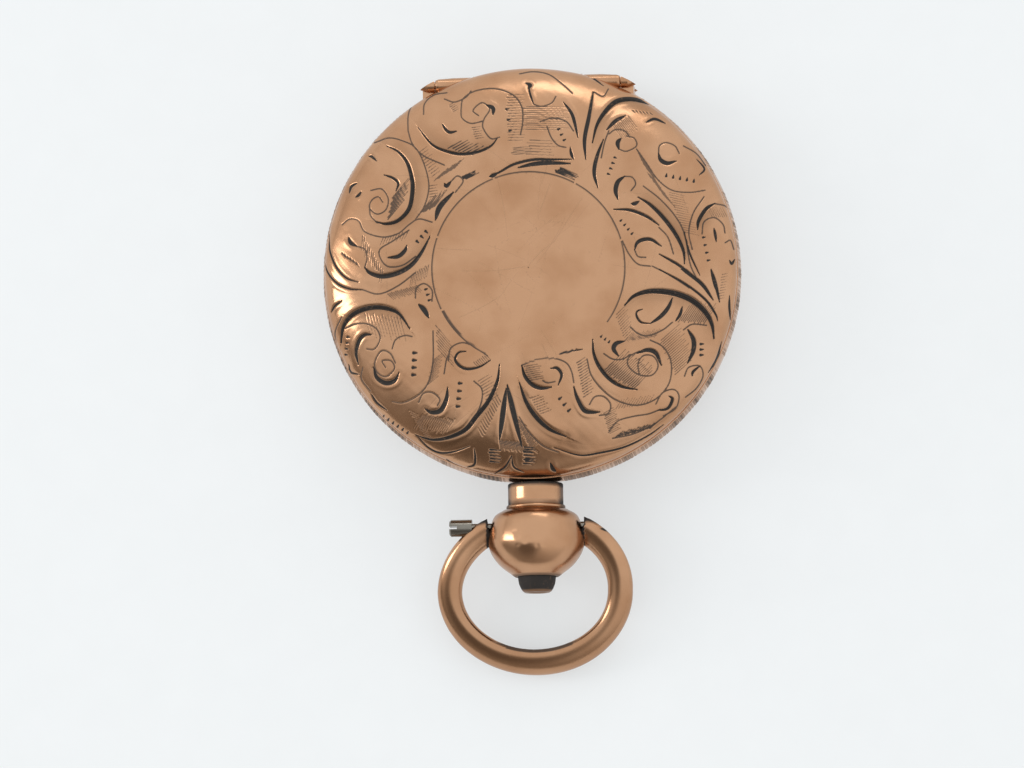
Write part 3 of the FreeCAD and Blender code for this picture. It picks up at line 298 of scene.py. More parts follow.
def west_lower(art):
    art.cut(
        0.4, (-17, -6.7), (-16.8, -5.3), (-16.1, -4.3), (-15, -3.7), (-13.7, -3.5), (-12.5, -3.7),
        (-11.6, -4.2), (-10.7, -5.5), carve=-1,
    )
    art.line(
        (-16.6, -5.4), (-15.6, -5), (-14.6, -5), (-13.7, -5.5), (-13.4, -6.4), (-13.9, -7.3),
        (-14.6, -7.3),
    )
    art.cut(0.34, (-15.4, -8.7), (-15.6, -7.6), (-15.3, -6.5), (-14.8, -6), (-14.2, -6))
    art.cut(0.42, (-14, -9), (-13.7, -9.9), (-12.9, -10.4), (-12.1, -10.2), (-11.7, -9.5))
    art.line(
        (-12.9, -9), (-13.2, -8.4), (-12.4, -8.4), (-12.1, -9.1), (-12.8, -9.8), (-13.6, -9.5),
        (-13.9, -8.6), (-13.3, -7.5), (-12.5, -7.7), (-12, -8.6),
    )
    art.hatch((-14.8, -4.1), (-11.6, -4.4), (0.5, -2), 10, 0.06)
    art.dots((-10.2, -7.7), (-10.3, -9.7), 4, 0.24)
    art.line((-12.3, -7.3), (-12, -6.5), (-11.2, -6.1), (-10.5, -6.2))
    art.line((-8.6, -5.7), (-8.6, -8.4), (-9, -10.3), (-9.9, -11.5), (-11.3, -12.2), (-12.3, -12.1))
    art.hatch((-8.3, -5.3), (-8.2, -7.3), (1.4, -1.6), 6)
    art.line((-7.6, -3.9), (-6.1, -6.1), (-4.9, -7.1), (-3.7, -8))
    art.cut(0.16, (-17.9, -3.9), (-17.5, -3.3), (-16.9, -2.9))
    art.cut(0.13, (-16.3, -8.7), (-16.1, -9.4), (-15.3, -9.6))
    art.cut(0.15, (-14.2, -11.4), (-13.7, -12.2), (-12.8, -12.9))
    art.dots((-13.1, -13.4), (-10.9, -14.9), 6)
    art.dots((-16.3, -6.2), (-16.5, -7.8), 4)
    art.hatch((-8.6, -8.4), (-9.1, -10.6), (0.9, 0.7), 10)
    art.line((-17.4, -7.1), (-17.5, -5.7), (-16.9, -4.4))
    art.line((-15, -9), (-15.1, -10), (-14.3, -11.1))


def south_west(art):
    art.cut(
        0.2, (-5.6, -7.6), (-6.3, -7.7), (-6.6, -8.3), (-6.2, -8.9), (-5.5, -9.2), (-4.4, -9),
        (-3.4, -8.4),
    )
    art.hatch((-4.9, -8.6), (-3.8, -7.9), (0.4, -0.5), 6)
    art.cut(
        0.42, (-2.6, -8.8), (-2.8, -10.3), (-3.6, -12.1), (-4.7, -13.5), (-5.7, -14.7), (-7.2, -15.4),
        (-8.7, -15.6), (-10.1, -15.2), carve=1,
    )
    art.cut(0.46, (-7.3, -10.9), (-7.4, -11.9), (-7.9, -12.9), (-8.7, -13.1), (-9.3, -12.8))
    art.line((-9.9, -12.2), (-9.5, -11.4), (-8.7, -11.3), (-8, -11.9), (-8.2, -12.5))
    art.hatch((-9.5, -13.3), (-6.7, -13.8), (-0.8, -1.2), 12)
    art.hatch((-10.8, -12.9), (-9.4, -15.2), (0.8, -0.4), 8, 0.06)
    art.dots((-6.1, -10.5), (-6.3, -12.6), 4, 0.22)
    art.line((-4.9, -10.3), (-4.2, -11), (-4.2, -12.1), (-4.7, -13.4))
    art.hatch((-4.5, -10.3), (-3.7, -12.2), (1, 0.6), 7)
    art.line((-7.2, -8.4), (-7, -7.3), (-6, -6.8), (-4.9, -7.1))
    art.line((-7.6, -9.6), (-7.4, -8.4), (-7.2, -7.9))
    art.cut(0.12, (-10.2, -15.1), (-9.1, -16.3), (-8, -16.8), (-6.7, -16.7), (-5.3, -16.2))


def palmette(art):
    art.cut(0.5, (-2, -11), (-2.3, -13.3), (-2.6, -15.6))
    art.cut(0.5, (-1.9, -10.7), (-1.4, -12.9), (-0.6, -16.2))
    art.hatch((-2.5, -12.2), (-4.1, -15.3), (-0.4, 0.7), 10, 0.08)
    art.hatch((-1, -13.8), (0.1, -16.3), (0.8, -0.6), 9, 0.08)
    art.hatch((-2.6, -15.7), (-0.6, -15.9), (0.1, -0.8), 12, 0.1)
    art.cut(0.16, (-4.9, -16.4), (-4.8, -17.2), (-4.9, -17.9), (-5.5, -18.1))
    art.cut(0.14, (-3, -18.7), (-2.1, -18.1), (-1.5, -17.1))
    art.cut(0.12, (-1.5, -17.1), (-1.3, -18.1), (-0.4, -18.6))
    art.hatch((-3.5, -16.5), (-3.4, -17.6), (0.9, -0.1), 4, 0.18)
    art.hatch((-0.4, -16.5), (-0.2, -17.6), (0.9, -0.1), 4, 0.16)
    art.hatch((-0.4, -16.3), (-0.4, -17.8), (0.8, -0.1), 4, 0.16)
    art.cut(0.34, (2, -17.8), (2.2, -18.3), (2.5, -18.6))
    art.cut(0.1, (-7.4, -17.4), (-6.8, -17.8), (-6, -18.1))


def south(art):
    art.cut(0.34, (-0.6, -8.9), (-0.3, -9.9), (0.4, -10.7), (1.2, -11), (2.1, -10.9), carve=1)
    art.cut(0.24, (2, -9.2), (2.6, -9.2), (3, -9.8), (2.7, -10.7))
    art.hatch((-0.3, -9), (0, -10.3), (1.3, 0.2), 6, 0.08)
    art.line((1.3, -10.3), (1.7, -10.5), (2.4, -10.4))
    art.line((-0.6, -8.9), (0.8, -8.4), (2.3, -8.3), (3.4, -8.7), (3.9, -9.5), (4.1, -10.5))
    art.cut(0.1, (2.3, -8.2), (3.6, -7.7), (4.9, -7.5))
    art.cut(0.4, (-0.8, -10.5), (-0.2, -12.2), (0.7, -13.6), (1.9, -14.7), (3.4, -15.4), carve=-1)
    art.line((-0.8, -13.6), (0, -14.9), (1.3, -16.2), (2.7, -16.8))
    art.hatch((-0.8, -14.3), (0.9, -15.9), (-0.4, -0.5), 8, 0.08)
    art.hatch((0.2, -11.9), (1.1, -13.3), (0.9, 0.3), 6)
    art.cut(0.36, (4.1, -10.9), (4.4, -11.9), (5, -13), (5.7, -13.2), (6.4, -13.2))
    art.hatch((4.4, -8.7), (5, -11.8), (0.8, 0.5), 11, 0.09)
    art.line((5.5, -12.5), (6, -11.8), (6.8, -11.8), (7.4, -12.5), (7.2, -13.3), (6.4, -13.5))
    art.dots((2.9, -11.9), (3.7, -13), 3, 0.2)


def south_east(art):
    art.line(
        (10, -9.8), (9.9, -8.8), (10.4, -8.1), (11.3, -8.2), (11.7, -9.1), (11.1, -9.9), (9.9, -9.8),
        (9, -9), (9.1, -8.2), (10, -7.7),
    )
    art.cut(0.38, (9.8, -7.9), (10.7, -7.6), (11.5, -7.9), (12, -9))
    art.cut(0.3, (5.8, -6.6), (5.9, -7.9), (6.4, -9.1), (7.3, -10.2), (8.4, -10.9), (9.8, -11.2), carve=1)
    art.line(
        (5.3, -8.4), (5.7, -9.9), (6.8, -11.3), (8.1, -12.2), (9.8, -12.6), (11.4, -12.1), (12.5, -11),
        (12.9, -9.8), (12.8, -8.4), (12.1, -7.3), (11, -6.7),
    )
    art.hatch((6.8, -9.5), (9.5, -11.1), (1.8, 1.8), 14, 0.1)
    art.cut(0.42, (8.6, -6.8), (7.9, -7), (7.7, -7.5), (8.1, -8.1))
    art.line((6.8, -7.9), (7.6, -8.4), (8.5, -8.4), (9.2, -8))
    art.hatch((7.9, -4.4), (8.7, -6.7), (0.8, 0.8), 9, 0.06)
    art.hatch((8.7, -6.8), (11.4, -6.4), (0.6, 0.7), 12, 0.06)
    art.hatch((11.9, -6.8), (13.3, -9.8), (1.6, 1.4), 14)
    art.hatch((6.8, -13.3), (7.3, -15.2), (0.9, 0.5), 10)
    art.hatch((7.9, -12.9), (10.8, -12.5), (0.5, 0.8), 10, 0.06)
    art.dots((6.6, -6.3), (7.3, -6.8), 3, 0.14)


def east_lower(art):
    art.cut(
        0.5, (8.7, -3.5), (9.5, -2.7), (10.7, -2.3), (12.1, -2.3), (13.6, -2.6), (14.9, -3.2), (16, -4.2),
        (16.6, -5.3), (16.8, -6.6), carve=-1,
    )
    art.cut(0.14, (10.3, -3.9), (9.8, -4.1), (9.8, -4.6), (10.2, -5.1), (11, -5.2))
    art.cut(0.36, (13, -2.9), (12.6, -3.8), (11.9, -4.6), (11, -5.2))
    art.hatch((13.6, -5), (15.9, -5.2), (1.1, 1.6), 11, 0.08)
    art.cut(0.24, (13.9, -3.7), (13.7, -4.4), (13.3, -5))
    art.line((9.2, -5.5), (9.9, -6.1), (10.8, -6.3), (12.1, -5.8), (13, -5.1))
    art.cut(0.42, (14.4, -5.8), (14.9, -6.7), (14.9, -7.7), (14.4, -8.8))
    art.dots((15.7, -7.1), (15.7, -8.1), 3, 0.2)
    art.line((14, -5.8), (14.8, -5.3), (16.1, -5.4))
    art.cut(0.16, (11.8, -0.3), (14.1, -1.6), (16, -3.1), (16.9, -4.4), (17.1, -5))
    art.cut(0.3, (13.8, -0.3), (15.6, -1.6), (16.7, -3.1))
    art.cut(0.26, (16.5, -0.3), (16.9, -1.6), (17.3, -3.3))
    art.cut(0.2, (15.5, -9.1), (14.9, -9.6), (14.8, -10))
    art.line((14.1, -10), (14.5, -9.2), (15.5, -9.1), (15.8, -10), (15.2, -11.1), (14.2, -11.9))
    art.cut(0.24, (12.7, -11.8), (13, -12.1), (12.6, -12.9), (11.7, -13.1))
    art.line((11.5, -12.5), (12.1, -11.5), (13.1, -11.2), (13.6, -11.8), (13.3, -12.9), (12.2, -13.6))
    art.line((7.3, -14.9), (8.1, -14), (9.5, -13.6), (10.8, -13.4), (11.9, -13))
    art.hatch((7.9, -15.5), (11, -14.7), (0.6, 0.5), 9, 0.13)
    art.cut(0.13, (2.3, -16.4), (4.6, -17.1), (6.5, -16.9), (8.7, -16.4), (10.8, -15.4), (12.2, -14.4))
    art.line((7.6, -15.6), (9.5, -15.2), (11.4, -14.3), (13.3, -12.8))
    art.cut(0.15, (17.5, -6.9), (17.1, -8.4), (16.3, -9.7))
    art.cut(0.16, (18.2, -2.7), (18.2, -3.8), (18.3, -4.9))
    art.hatch((17.5, -0.8), (17.2, -3), (0.5, 0.1), 8, 0.06)


def east_upper(art):
    art.cut(0.34, (15.3, 3.3), (15.4, 4.1), (16.1, 5.2), (16.9, 5.7), carve=-1)
    art.line((16.9, 5.7), (18, 5.4), (18.5, 4.4), (18.7, 2.9))
    art.line((14.8, 1.5), (14.5, 3.1), (14.9, 4.8), (15.9, 6.3))
    art.line((15.7, 2.9), (15.9, 4), (16.8, 4.4), (17.6, 3.8), (17.8, 3))
    art.cut(0.22, (16.8, 3.4), (16.9, 2.9), (17, 2.2))
    art.dots((15.9, 2.6), (16.3, 0.5), 4)
    art.cut(0.2, (18.2, 0.5), (18.4, 0.2), (18.7, 0.6))
    art.line((17.8, 2.1), (18.3, 2.3), (18.6, 1.5))
    art.hatch((16.7, 4.4), (18, 4.5), (-0.4, 0.8), 6, 0.05)
    art.cut(0.36, (9.9, 6.3), (11, 5.6), (12.2, 4.4), (13.3, 2.9), (14, 1.4), (14.1, 0.2), carve=1)
    art.cut(0.22, (7.7, 5.2), (9.2, 5.1), (10.7, 4.5), (11.8, 3.7))
    art.cut(0.32, (9.6, 1.5), (9.8, 2.1), (10.3, 2.4), (11.1, 2.4), (12, 1.8))
    art.line((9.6, 1.5), (9.9, 0.9), (10.6, 0.8))
    art.cut(0.18, (11.8, 1.1), (13.8, -0.1), (16, -1.9))
    art.line((11.2, 0), (12.7, -0.8), (14.5, -2))
    art.line((8.5, 2.3), (9.1, 1.1), (9.9, 0.2), (11, 0))
    art.dots((8.4, 4.2), (9.4, 3), 4, 0.14)
    art.line((10.4, 7.3), (11.9, 6.1), (13.3, 4.5), (14.1, 2.9), (14.6, 0.2), (15.2, -1.2))
    art.line((11.8, 3.5), (12.6, 2.6), (13.1, 1.1))
    art.cut(0.1, (14.1, 3.1), (14.6, 1.1), (15.5, -0.9))
    art.cut(0.2, (16.5, -0.4), (16.7, -1.2), (16.9, -2.1))
    art.hatch((12.7, 6.7), (14, 3.1), (1.3, -0.3), 13, 0.06)


def north_east(art):
    art.cut(0.36, (5.9, 16), (5.5, 13.7), (5.1, 11.6), (5.2, 9.8))
    art.cut(0.28, (4.5, 11.8), (4.2, 13.2), (3.9, 14.1), (3.2, 15.1))
    art.cut(
        0.36, (5.8, 11.3), (6.2, 12.9), (6.9, 14.1), (7.9, 15.1), (9.2, 15.4), (10.4, 15.2), (11.7, 14.7),
        carve=-1,
    )
    art.line((11.7, 14.7), (13, 13.7), (14.2, 12.5), (15, 11.3))
    art.cut(0.34, (7.1, 12.5), (7.9, 13.3), (8.8, 13.8))
    art.cut(0.34, (6.8, 11.6), (6.3, 10.3), (6, 9.1), (6, 8.2), (6.3, 7.2))
    art.line((7.3, 12.4), (6.9, 11.3), (6.6, 9.9))
    art.cut(0.38, (8.4, 11.7), (8.1, 11.3), (8.2, 10.7))
    art.line((8.2, 10.7), (8.9, 10.5), (9.8, 11), (9.6, 11.7), (8.9, 11.9))
    art.hatch((7.7, 12.8), (9.1, 13.7), (0.8, -1.1), 9, 0.06)
    art.hatch((9.9, 10.5), (10.4, 9.4), (1.2, -1.8), 8, 0.08)
    art.hatch((10.7, 8.6), (12.2, 6.5), (1.1, -1.2), 8)
    art.cut(0.42, (8.7, 8.2), (8.1, 7.7), (7.9, 6.9), (8.1, 6.1))
    art.line((8.7, 8.2), (9.4, 8.1), (9.7, 7.5), (9.3, 6.9))
    art.cut(0.34, (9.3, 5.7), (9.6, 5.7), (10, 5.9))
    art.dots((7.9, 9.9), (7.3, 8.4), 4)
    art.dots((12.5, 8.3), (15, 7.8), 5, 0.18)
    art.cut(0.22, (10.7, 13.2), (11.5, 13.5), (12.5, 13.1))
    art.cut(0.38, (11.8, 10.3), (12, 9.7), (12.6, 9.4), (13.4, 9.6))
    art.line((11.8, 10.3), (11.9, 11), (12.5, 11.3), (13.3, 11), (13.7, 10.3))
    art.cut(0.12, (15.3, 9.8), (16, 8.9), (15.5, 8.3))
    art.line((14.1, 11), (15.3, 10.3), (16.1, 9.2))
    art.line((9.8, 10.7), (10.7, 9.4), (11.7, 7.9), (13, 6.9), (14.6, 6.7), (16, 6.9))
    art.hatch((9.5, 14.3), (11.1, 14.1), (0.2, -0.2), 5, 0.1)
    art.cut(0.24, (3.8, 10.9), (3.9, 10.3), (4.1, 9.8))
    art.hatch((2.4, 8.7), (3, 9), (1.6, -0.7), 4, 0.14)
    art.line((7.3, 12.1), (7.9, 12.5), (8.7, 12.4), (9.2, 11.8))
    art.cut(0.1, (5.1, 17.8), (6, 17.3), (6.9, 16.6))
    art.line((6, 16), (6.8, 15.6), (7.3, 16.3))


def cartouche_top(art):
    art.cut(0.2, (-3.5, 8.3), (-2.6, 8.7), (-1.3, 9.4), (0.5, 9.8), (2, 9.8), (3.9, 9.8))
    art.cut(0.4, (-0.9, 9.1), (0.5, 9.4), (1.9, 9.5), (3.8, 9.4))
    art.cut(0.34, (-3.5, 8.3), (-3.2, 8.4), (-2.8, 8.6))
    art.hatch((-1.5, 10.3), (-1.3, 10.9), (1.6, 0.1), 4)


def engrave_back(art):
    """The whole back, scroll by scroll, clockwise from the top left."""
    for draw in (
        north_west, west_upper, west_middle, west_lower, south_west, palmette, south, south_east, east_lower,
        east_upper, north_east, cartouche_top,
    ):
        draw(art)
    art.circle(FLAT_R, ((-35, 15), (17, 60), (62, 110), (112, 160), (162, 205), (207, 242)))
    art.scratches(170, 15, 77)


def engrave_front(art):
    """A quieter cover: one scroll and its leaf repeated round the rim, and a plain shield edge."""
    for n in range(8):
        turn = math.radians(45 * n)
        c, s = math.cos(turn), math.sin(turn)

        def at(x, y):
            return (x * c - y * s, x * s + y * c)

        art.cut(0.42, at(10.4, -3.6), at(11.6, -1.6), at(13.6, -0.8), at(15.6, -1.8), at(16.4, -3.8), carve=1)
        art.cut(0.34, at(15.4, -4.4), at(14.0, -4.9), at(13.2, -3.8), at(13.9, -2.8))
        art.line(at(14.4, -3.7), at(14.0, -3.3), at(13.7, -3.7), at(14.1, -4.2), at(14.8, -4.0))
        art.cut(0.3, at(10.0, 0.4), at(12.0, 1.4), at(14.4, 1.2), at(16.6, 2.4), carve=-1)
        art.line(at(9.9, 1.2), at(11.6, 2.6), at(13.8, 2.6), at(15.6, 3.8), at(15.4, 4.8), at(14.4, 4.6))
        art.hatch(at(11.2, -2.8), at(13.0, -1.6), at(1.2, -1.4), 8, 0.08)
        art.hatch(at(15.4, 0.0), at(17.2, 0.6), at(0.3, -1.3), 7)
        art.dots(at(12.0, -5.0), at(12.6, -3.2), 4, 0.18)
    art.circle(FLAT_R, ((0, 90), (90, 180), (180, 270), (270, 360)))
    art.scratches(150, 15, 78)


# ---- meshes ----
def place(name, data):
    """A new object in the scene for some mesh, lamp or camera data."""
    obj = bpy.data.objects.new(name, data)
    bpy.context.scene.collection.objects.link(obj)
    return obj


def new_mesh(name, verts, faces, smooth=True):
    """A mesh object from points in millimetres."""
    mesh = bpy.data.meshes.new(name)
    verts = np.asarray(verts, np.float32) * MM
    mesh.vertices.add(len(verts))
    mesh.vertices.foreach_set("co", verts.ravel())
    sizes = np.array([len(f) for f in faces], np.int32)
    loops = np.fromiter((v for f in faces for v in f), np.int32)
    mesh.loops.add(len(loops))
    mesh.loops.foreach_set("vertex_index", loops)
    mesh.polygons.add(len(sizes))
    mesh.polygons.foreach_set("loop_start", np.concatenate([[0], np.cumsum(sizes)[:-1]]).astype(np.int32))
    mesh.polygons.foreach_set("use_smooth", np.full(len(sizes), smooth))
    mesh.update(calc_edges=True)
    mesh.validate()
    return place(name, mesh)


def grid_faces(rows, columns):
    """Quads between rows of points; each row has the same number of points and closes on itself."""
    row, col = np.meshgrid(np.arange(rows - 1), np.arange(columns), indexing="ij")
    after = (col + 1) % columns
    here, above = row * columns, (row + 1) * columns
    return np.stack([here + col, here + after, above + after, above + col], -1).reshape(-1, 4)


def lathe(name, outline, segments, axis, wear, seed, centre=(0, 0, 0)):
    """A worn surface of revolution of (radius, height) points about the x or y axis."""
    outline = np.array(outline, float)
    turn = 2 * np.pi * np.arange(segments) / segments
    r, h = outline[:, 0][:, None], outline[:, 1][:, None]
    uneven = ripple(r * np.cos(turn), r * np.sin(turn), h + 0 * turn, seed)
    r = r + wear * uneven * (r > 0.05)
    across, up = r * np.cos(turn), r * np.sin(turn)
    height = np.broadcast_to(h, across.shape)
    order = [across, height, up] if axis == "y" else [height, across, up]
    points = np.stack(order, -1)
    return new_mesh(name, points.reshape(-1, 3) + np.array(centre), grid_faces(len(outline), segments))


def ripple(x, y, z, seed):
    """Smooth irregular bumps between about -1 and 1, the same on every run."""
    rng = np.random.default_rng(seed)
    total = 0
    for scale in (0.9, 1.7, 3.1):
        k = rng.normal(size=(3, 3)) * scale
        phase = rng.uniform(0, 6.28, 3)
        for row, p in zip(k, phase):
            total = total + np.sin(row[0] * x + row[1] * y + row[2] * z + p) / (3 * scale)
    return total


def attribute(obj, name, values):
    """One number for each of the mesh's points, for its material to read."""
    layer = obj.data.attributes.new(name, "FLOAT", "POINT")
    layer.data.foreach_set("value", np.asarray(values, np.float32))


# ---- the outer covers ----
SEGMENTS = 1700  # points round a cover, fine enough for its hairlines
KNUCKLE_ROOM, KNUCKLE_HALF = 0.72, 4.98  # space cut in a cover for the knuckles that it doesn't own


def dome_profile(top):
    """(radius, height) along the cover's outside, from its middle to its lip, evenly spaced on the dome."""
    theta = np.linspace(0, np.pi / 2, 2000)
    lip = COVER_RIM + COVER_LIP
    r = FLAT_R + (COVER_R - FLAT_R) * np.sin(theta) ** (2 / DOME_POWER)
    z = lip + (top - lip) * np.cos(theta)
    run = np.concatenate([[0], np.cumsum(np.hypot(np.diff(r), np.diff(z)))])
    steps = np.linspace(0, run[-1], 190)
    dome = np.stack([np.interp(steps, run, r), np.interp(steps, run, z)], 1)
    flat = np.stack([np.linspace(0.05, FLAT_R, 60)[:-1], np.full(59, top)], 1)
    wall = [[COVER_R, COVER_RIM + 0.2], [COVER_R, COVER_RIM + 0.07], [COVER_R - 0.06, COVER_RIM]]
    return np.vstack([flat, dome, wall])


def inner_profile(top):
    """The same cover's inside, from its lip back to the middle."""
    theta = np.linspace(np.pi / 2, 0, 14)
    lip = COVER_RIM + COVER_LIP
    r = FLAT_R + (COVER_R - COVER_WALL - FLAT_R) * np.sin(theta) ** (2 / DOME_POWER)
    z = lip + (top - COVER_WALL - lip) * np.cos(theta)
    return np.vstack([[COVER_R - COVER_WALL, COVER_RIM], np.stack([r, z], 1), [0.05, top - COVER_WALL]])


def cover(name, top, engrave, back):
    """An outer cover with its engraving cut into the metal."""
    outside, inside = dome_profile(top), inner_profile(top)
    turn = 2 * np.pi * np.arange(SEGMENTS) / SEGMENTS
    slope = np.gradient(outside, axis=0)
    normal = np.stack([-slope[:, 1], slope[:, 0]], 1)
    normal /= np.linalg.norm(normal, axis=1)[:, None]
    r, z = outside[:, 0][:, None], outside[:, 1][:, None]
    x, y = r * np.cos(turn), r * np.sin(turn)
    height = z + 0 * x
    lean = view_direction()
    seen_x = x - lean.x / lean.z * (height - top)
    seen_y = y - lean.y / lean.z * (height - top)
    roll = math.radians(VIEW_ROLL)
    art = Engraving(
        (seen_x * math.cos(roll) - seen_y * math.sin(roll)).ravel(),
        (seen_x * math.sin(roll) + seen_y * math.cos(roll)).ravel(),
    )
    engrave(art)
    depth, ink_and_shade, relief = (v.reshape(x.shape) for v in art.finish())
    dents = 0.035 * ripple(x * 0.33, y * 0.33, height, 5) + 0.008 * ripple(x * 1.3, y * 1.3, height, 6)
    fade = np.clip((z - COVER_RIM - 0.15) / 0.5, 0, 1)
    push = (relief - depth + dents) * fade
    nr, nz = -normal[:, 0][:, None], -normal[:, 1][:, None]
    sign = np.sign(nz[0, 0]) or 1
    nr, nz = nr * sign, nz * sign
    r_out, z_out = r + nr * push, z + nz * push
    outer = np.stack([r_out * np.cos(turn), r_out * np.sin(turn), z_out], -1)
    ri, zi = inside[:, 0][:, None], inside[:, 1][:, None]
    inner = np.stack([ri * np.cos(turn), ri * np.sin(turn), zi + 0 * ri * turn], -1)
    points = clear_hinge(np.concatenate([outer, inner]).reshape(-1, 3))
    if not back:
        points[:, 2] *= -1
    faces = grid_faces(len(outside) + len(inside), SEGMENTS)
    if back:
        faces = faces[:, ::-1]
    obj = new_mesh(name, points, faces[:, ::-1])
    pad = np.zeros(len(inside) * SEGMENTS)
    attribute(obj, "ink_and_shade", np.concatenate([ink_and_shade.ravel(), pad]))
    # Painted shade: the gold darkens where the carving slopes the metal down towards a cut.
    attribute(obj, "low", np.concatenate([np.clip(-relief * 9, 0, 1).ravel(), pad]))
    return obj


def clear_hinge(points):
    """Lifts the metal off the knuckles that the cover does not own."""
    dy, dz = points[:, 1] - HINGE_Y, points[:, 2] - HINGE_Z
    dist = np.hypot(dy, dz)
    inside = (dist < KNUCKLE_ROOM) & (np.abs(points[:, 0]) < KNUCKLE_HALF)
    scale = KNUCKLE_ROOM / np.maximum(dist, 1e-3)
    points[inside, 1] = HINGE_Y + dy[inside] * scale[inside]
    points[inside, 2] = HINGE_Z + dz[inside] * scale[inside]
    return points


def knuckles(name, x0, x1, z, seed):
    """A pair of hinge tubes with softened ends."""
    edge, bore = 0.06, 0.33
    outline = [
        (bore, x0), (HINGE_R - edge, x0), (HINGE_R, x0 + edge), (HINGE_R, x0 + 0.3), (HINGE_R, (x0 + x1) / 2),
        (HINGE_R, x1 - 0.3), (HINGE_R, x1 - edge), (HINGE_R - edge, x1), (bore, x1), (bore, x0),
    ]
    right = lathe(name, outline, 48, "x", 0.01, seed, (0, HINGE_Y, z))
    mirrored = [(r, -h) for r, h in outline]
    left = lathe(name + "_left", mirrored, 48, "x", 0.01, seed + 1, (0, HINGE_Y, z))
    obj = join([right, left], name)
    for v in obj.data.vertices:
        reach = math.hypot(v.co.x, v.co.y) / MM
        if reach > HINGE_FILED_R:
            v.co.y *= HINGE_FILED_R / reach
    return obj


def join(objects, name):
    bpy.ops.object.select_all(action="DESELECT")
    for o in objects:
        o.select_set(True)
    bpy.context.view_layer.objects.active = objects[0]
    bpy.ops.object.join()
    objects[0].name = name
    return objects[0]


# ---- band, pendant and bow ----
def band_milling():
    """The fine reeding round the band, left out at the hinge and under the neck."""
    count, per = 300, 4
    turn = 2 * np.pi * np.arange(count * per) / (count * per)
    top = 1.62
    heights = np.array([-top, -1.5, -1.1, -0.6, 0, 0.6, 1.1, 1.5, top])
    bulge = BAND_R - BAND_EDGE_R
    base = BAND_EDGE_R + bulge * (1 - (heights / BAND_HALF) ** 2)
    rib = 0.5 + 0.5 * np.cos(count * turn)
    rough = 0.02 * ripple(40 * np.cos(turn), 40 * np.sin(turn), 0 * turn, 9)
    edge = np.clip((top - np.abs(heights)) / 0.1, 0, 1)
    r = base[:, None] - 0.01 + edge[:, None] * (0.03 * rib + rough)
    angle = np.degrees(turn)
    hinge_gap, neck_gap = 33, 7.2  # degrees to each side
    keep = (np.abs(angle - 90) > hinge_gap) & (np.abs(angle - 270) > neck_gap)
    points = np.stack([r * np.cos(turn), r * np.sin(turn), heights[:, None] + 0 * r], -1).reshape(-1, 3)
    faces = [f for f in grid_faces(len(heights), len(turn)) if keep[[v % len(turn) for v in f]].all()]
    obj = new_mesh("band_milling", points, faces)
    dirt = 0.3 + 0.25 * (1 - rib) + 6 * rough + 0 * r
    attribute(obj, "ink_and_shade", np.clip(dirt, 0, 1).ravel())
    return obj


def ball_outline():
    """Onion shape: (radius, y) from the neck to the push piece."""
    curve = smooth_path([(r, y) for y, r in BALL], 14)
    bore = [(1.78, -27.5), (1.78, -26.2), (0.86, -26.0), (0.86, -22.0), (1.8, -21.45)]
    return [(1.8, -21.45)] + [tuple(p) for p in curve] + bore


def pendant_ball():
    """The ball, dented and pitted where the bow and chain have knocked it."""
    obj = lathe("pendant_ball_worn", ball_outline(), 220, "y", 0.008, 11)
    co = np.zeros(len(obj.data.vertices) * 3, np.float32)
    obj.data.vertices.foreach_get("co", co)
    p = co.reshape(-1, 3) / MM
    rng = np.random.default_rng(4)
    for _ in range(26):
        spot = Vector((rng.normal(-0.2, 0.75), rng.normal(-24.2, 0.4), 3.6))
        size, depth = rng.uniform(0.1, 0.34), rng.uniform(0.01, 0.045)
        near = np.exp(-((p[:, 0] - spot.x) ** 2 + (p[:, 1] - spot.y) ** 2) / size**2) * (p[:, 2] > 1.5)
        p[:, 2] -= depth * near
    obj.data.vertices.foreach_set("co", (p * MM).astype(np.float32).ravel())
    obj.data.update()
    attribute(obj, "ink_and_shade", 0.5 * np.clip((-27.2 - p[:, 1]) / 0.2, 0, 1))
    # Painted shade: the gold darkens next to the neck and towards the ball's left and right sides.
    shade_by_neck = np.clip(p[:, 1] + 22.6, 0, 1)
    attribute(obj, "low", shade_by_neck + np.clip((np.abs(p[:, 0]) - 3.7) / 0.5, 0, 0.6))
    return obj


def pendant_neck():
    """The short tube between the band and the ball, with its bead; painted shade on its sides, a painted
    shadow at its end under the cover's overhang, and a dark line where the bead starts.
    """
    outline = [
        (NECK_BORE, NECK_START), (2.42, NECK_START), (2.5, -19.14), (2.5, -19.6), (2.5, -20.4), (2.5, -20.98),
        (2.56, -21.03), (2.66, -21.12), (2.68, -21.25), (2.6, -21.38), (2.5, NECK_END), (NECK_BORE, NECK_END),
        (NECK_BORE, NECK_START),
    ]
    segments = 128
    obj = lathe("pendant_neck_worn", outline, segments, "y", 0.006, 21)
    r, y = [np.repeat([p[i] for p in outline], segments) for i in (0, 1)]
    turn = 2 * np.pi * np.arange(segments) / segments
    across = np.abs(r * np.tile(np.cos(turn), len(outline)))
    # Painted shadow where the neck's end meets the case under the cover's overhang, and a dark line where the
    # bead starts.
    overhang_shadow_and_bead_line = 0.8 * np.clip((y + 19.35) / 0.2, 0, 1) + 0.45 * (np.abs(y + 21.0) < 0.04)
    # Painted shade: both attributes darken the neck towards its sides.
    attribute(obj, "ink_and_shade", overhang_shadow_and_bead_line + 0.4 * np.clip((across - 2.1) / 0.3, 0, 1))
    attribute(obj, "low", 1.6 * np.clip((across - 2.0) / 0.4, 0, 1))
    return obj


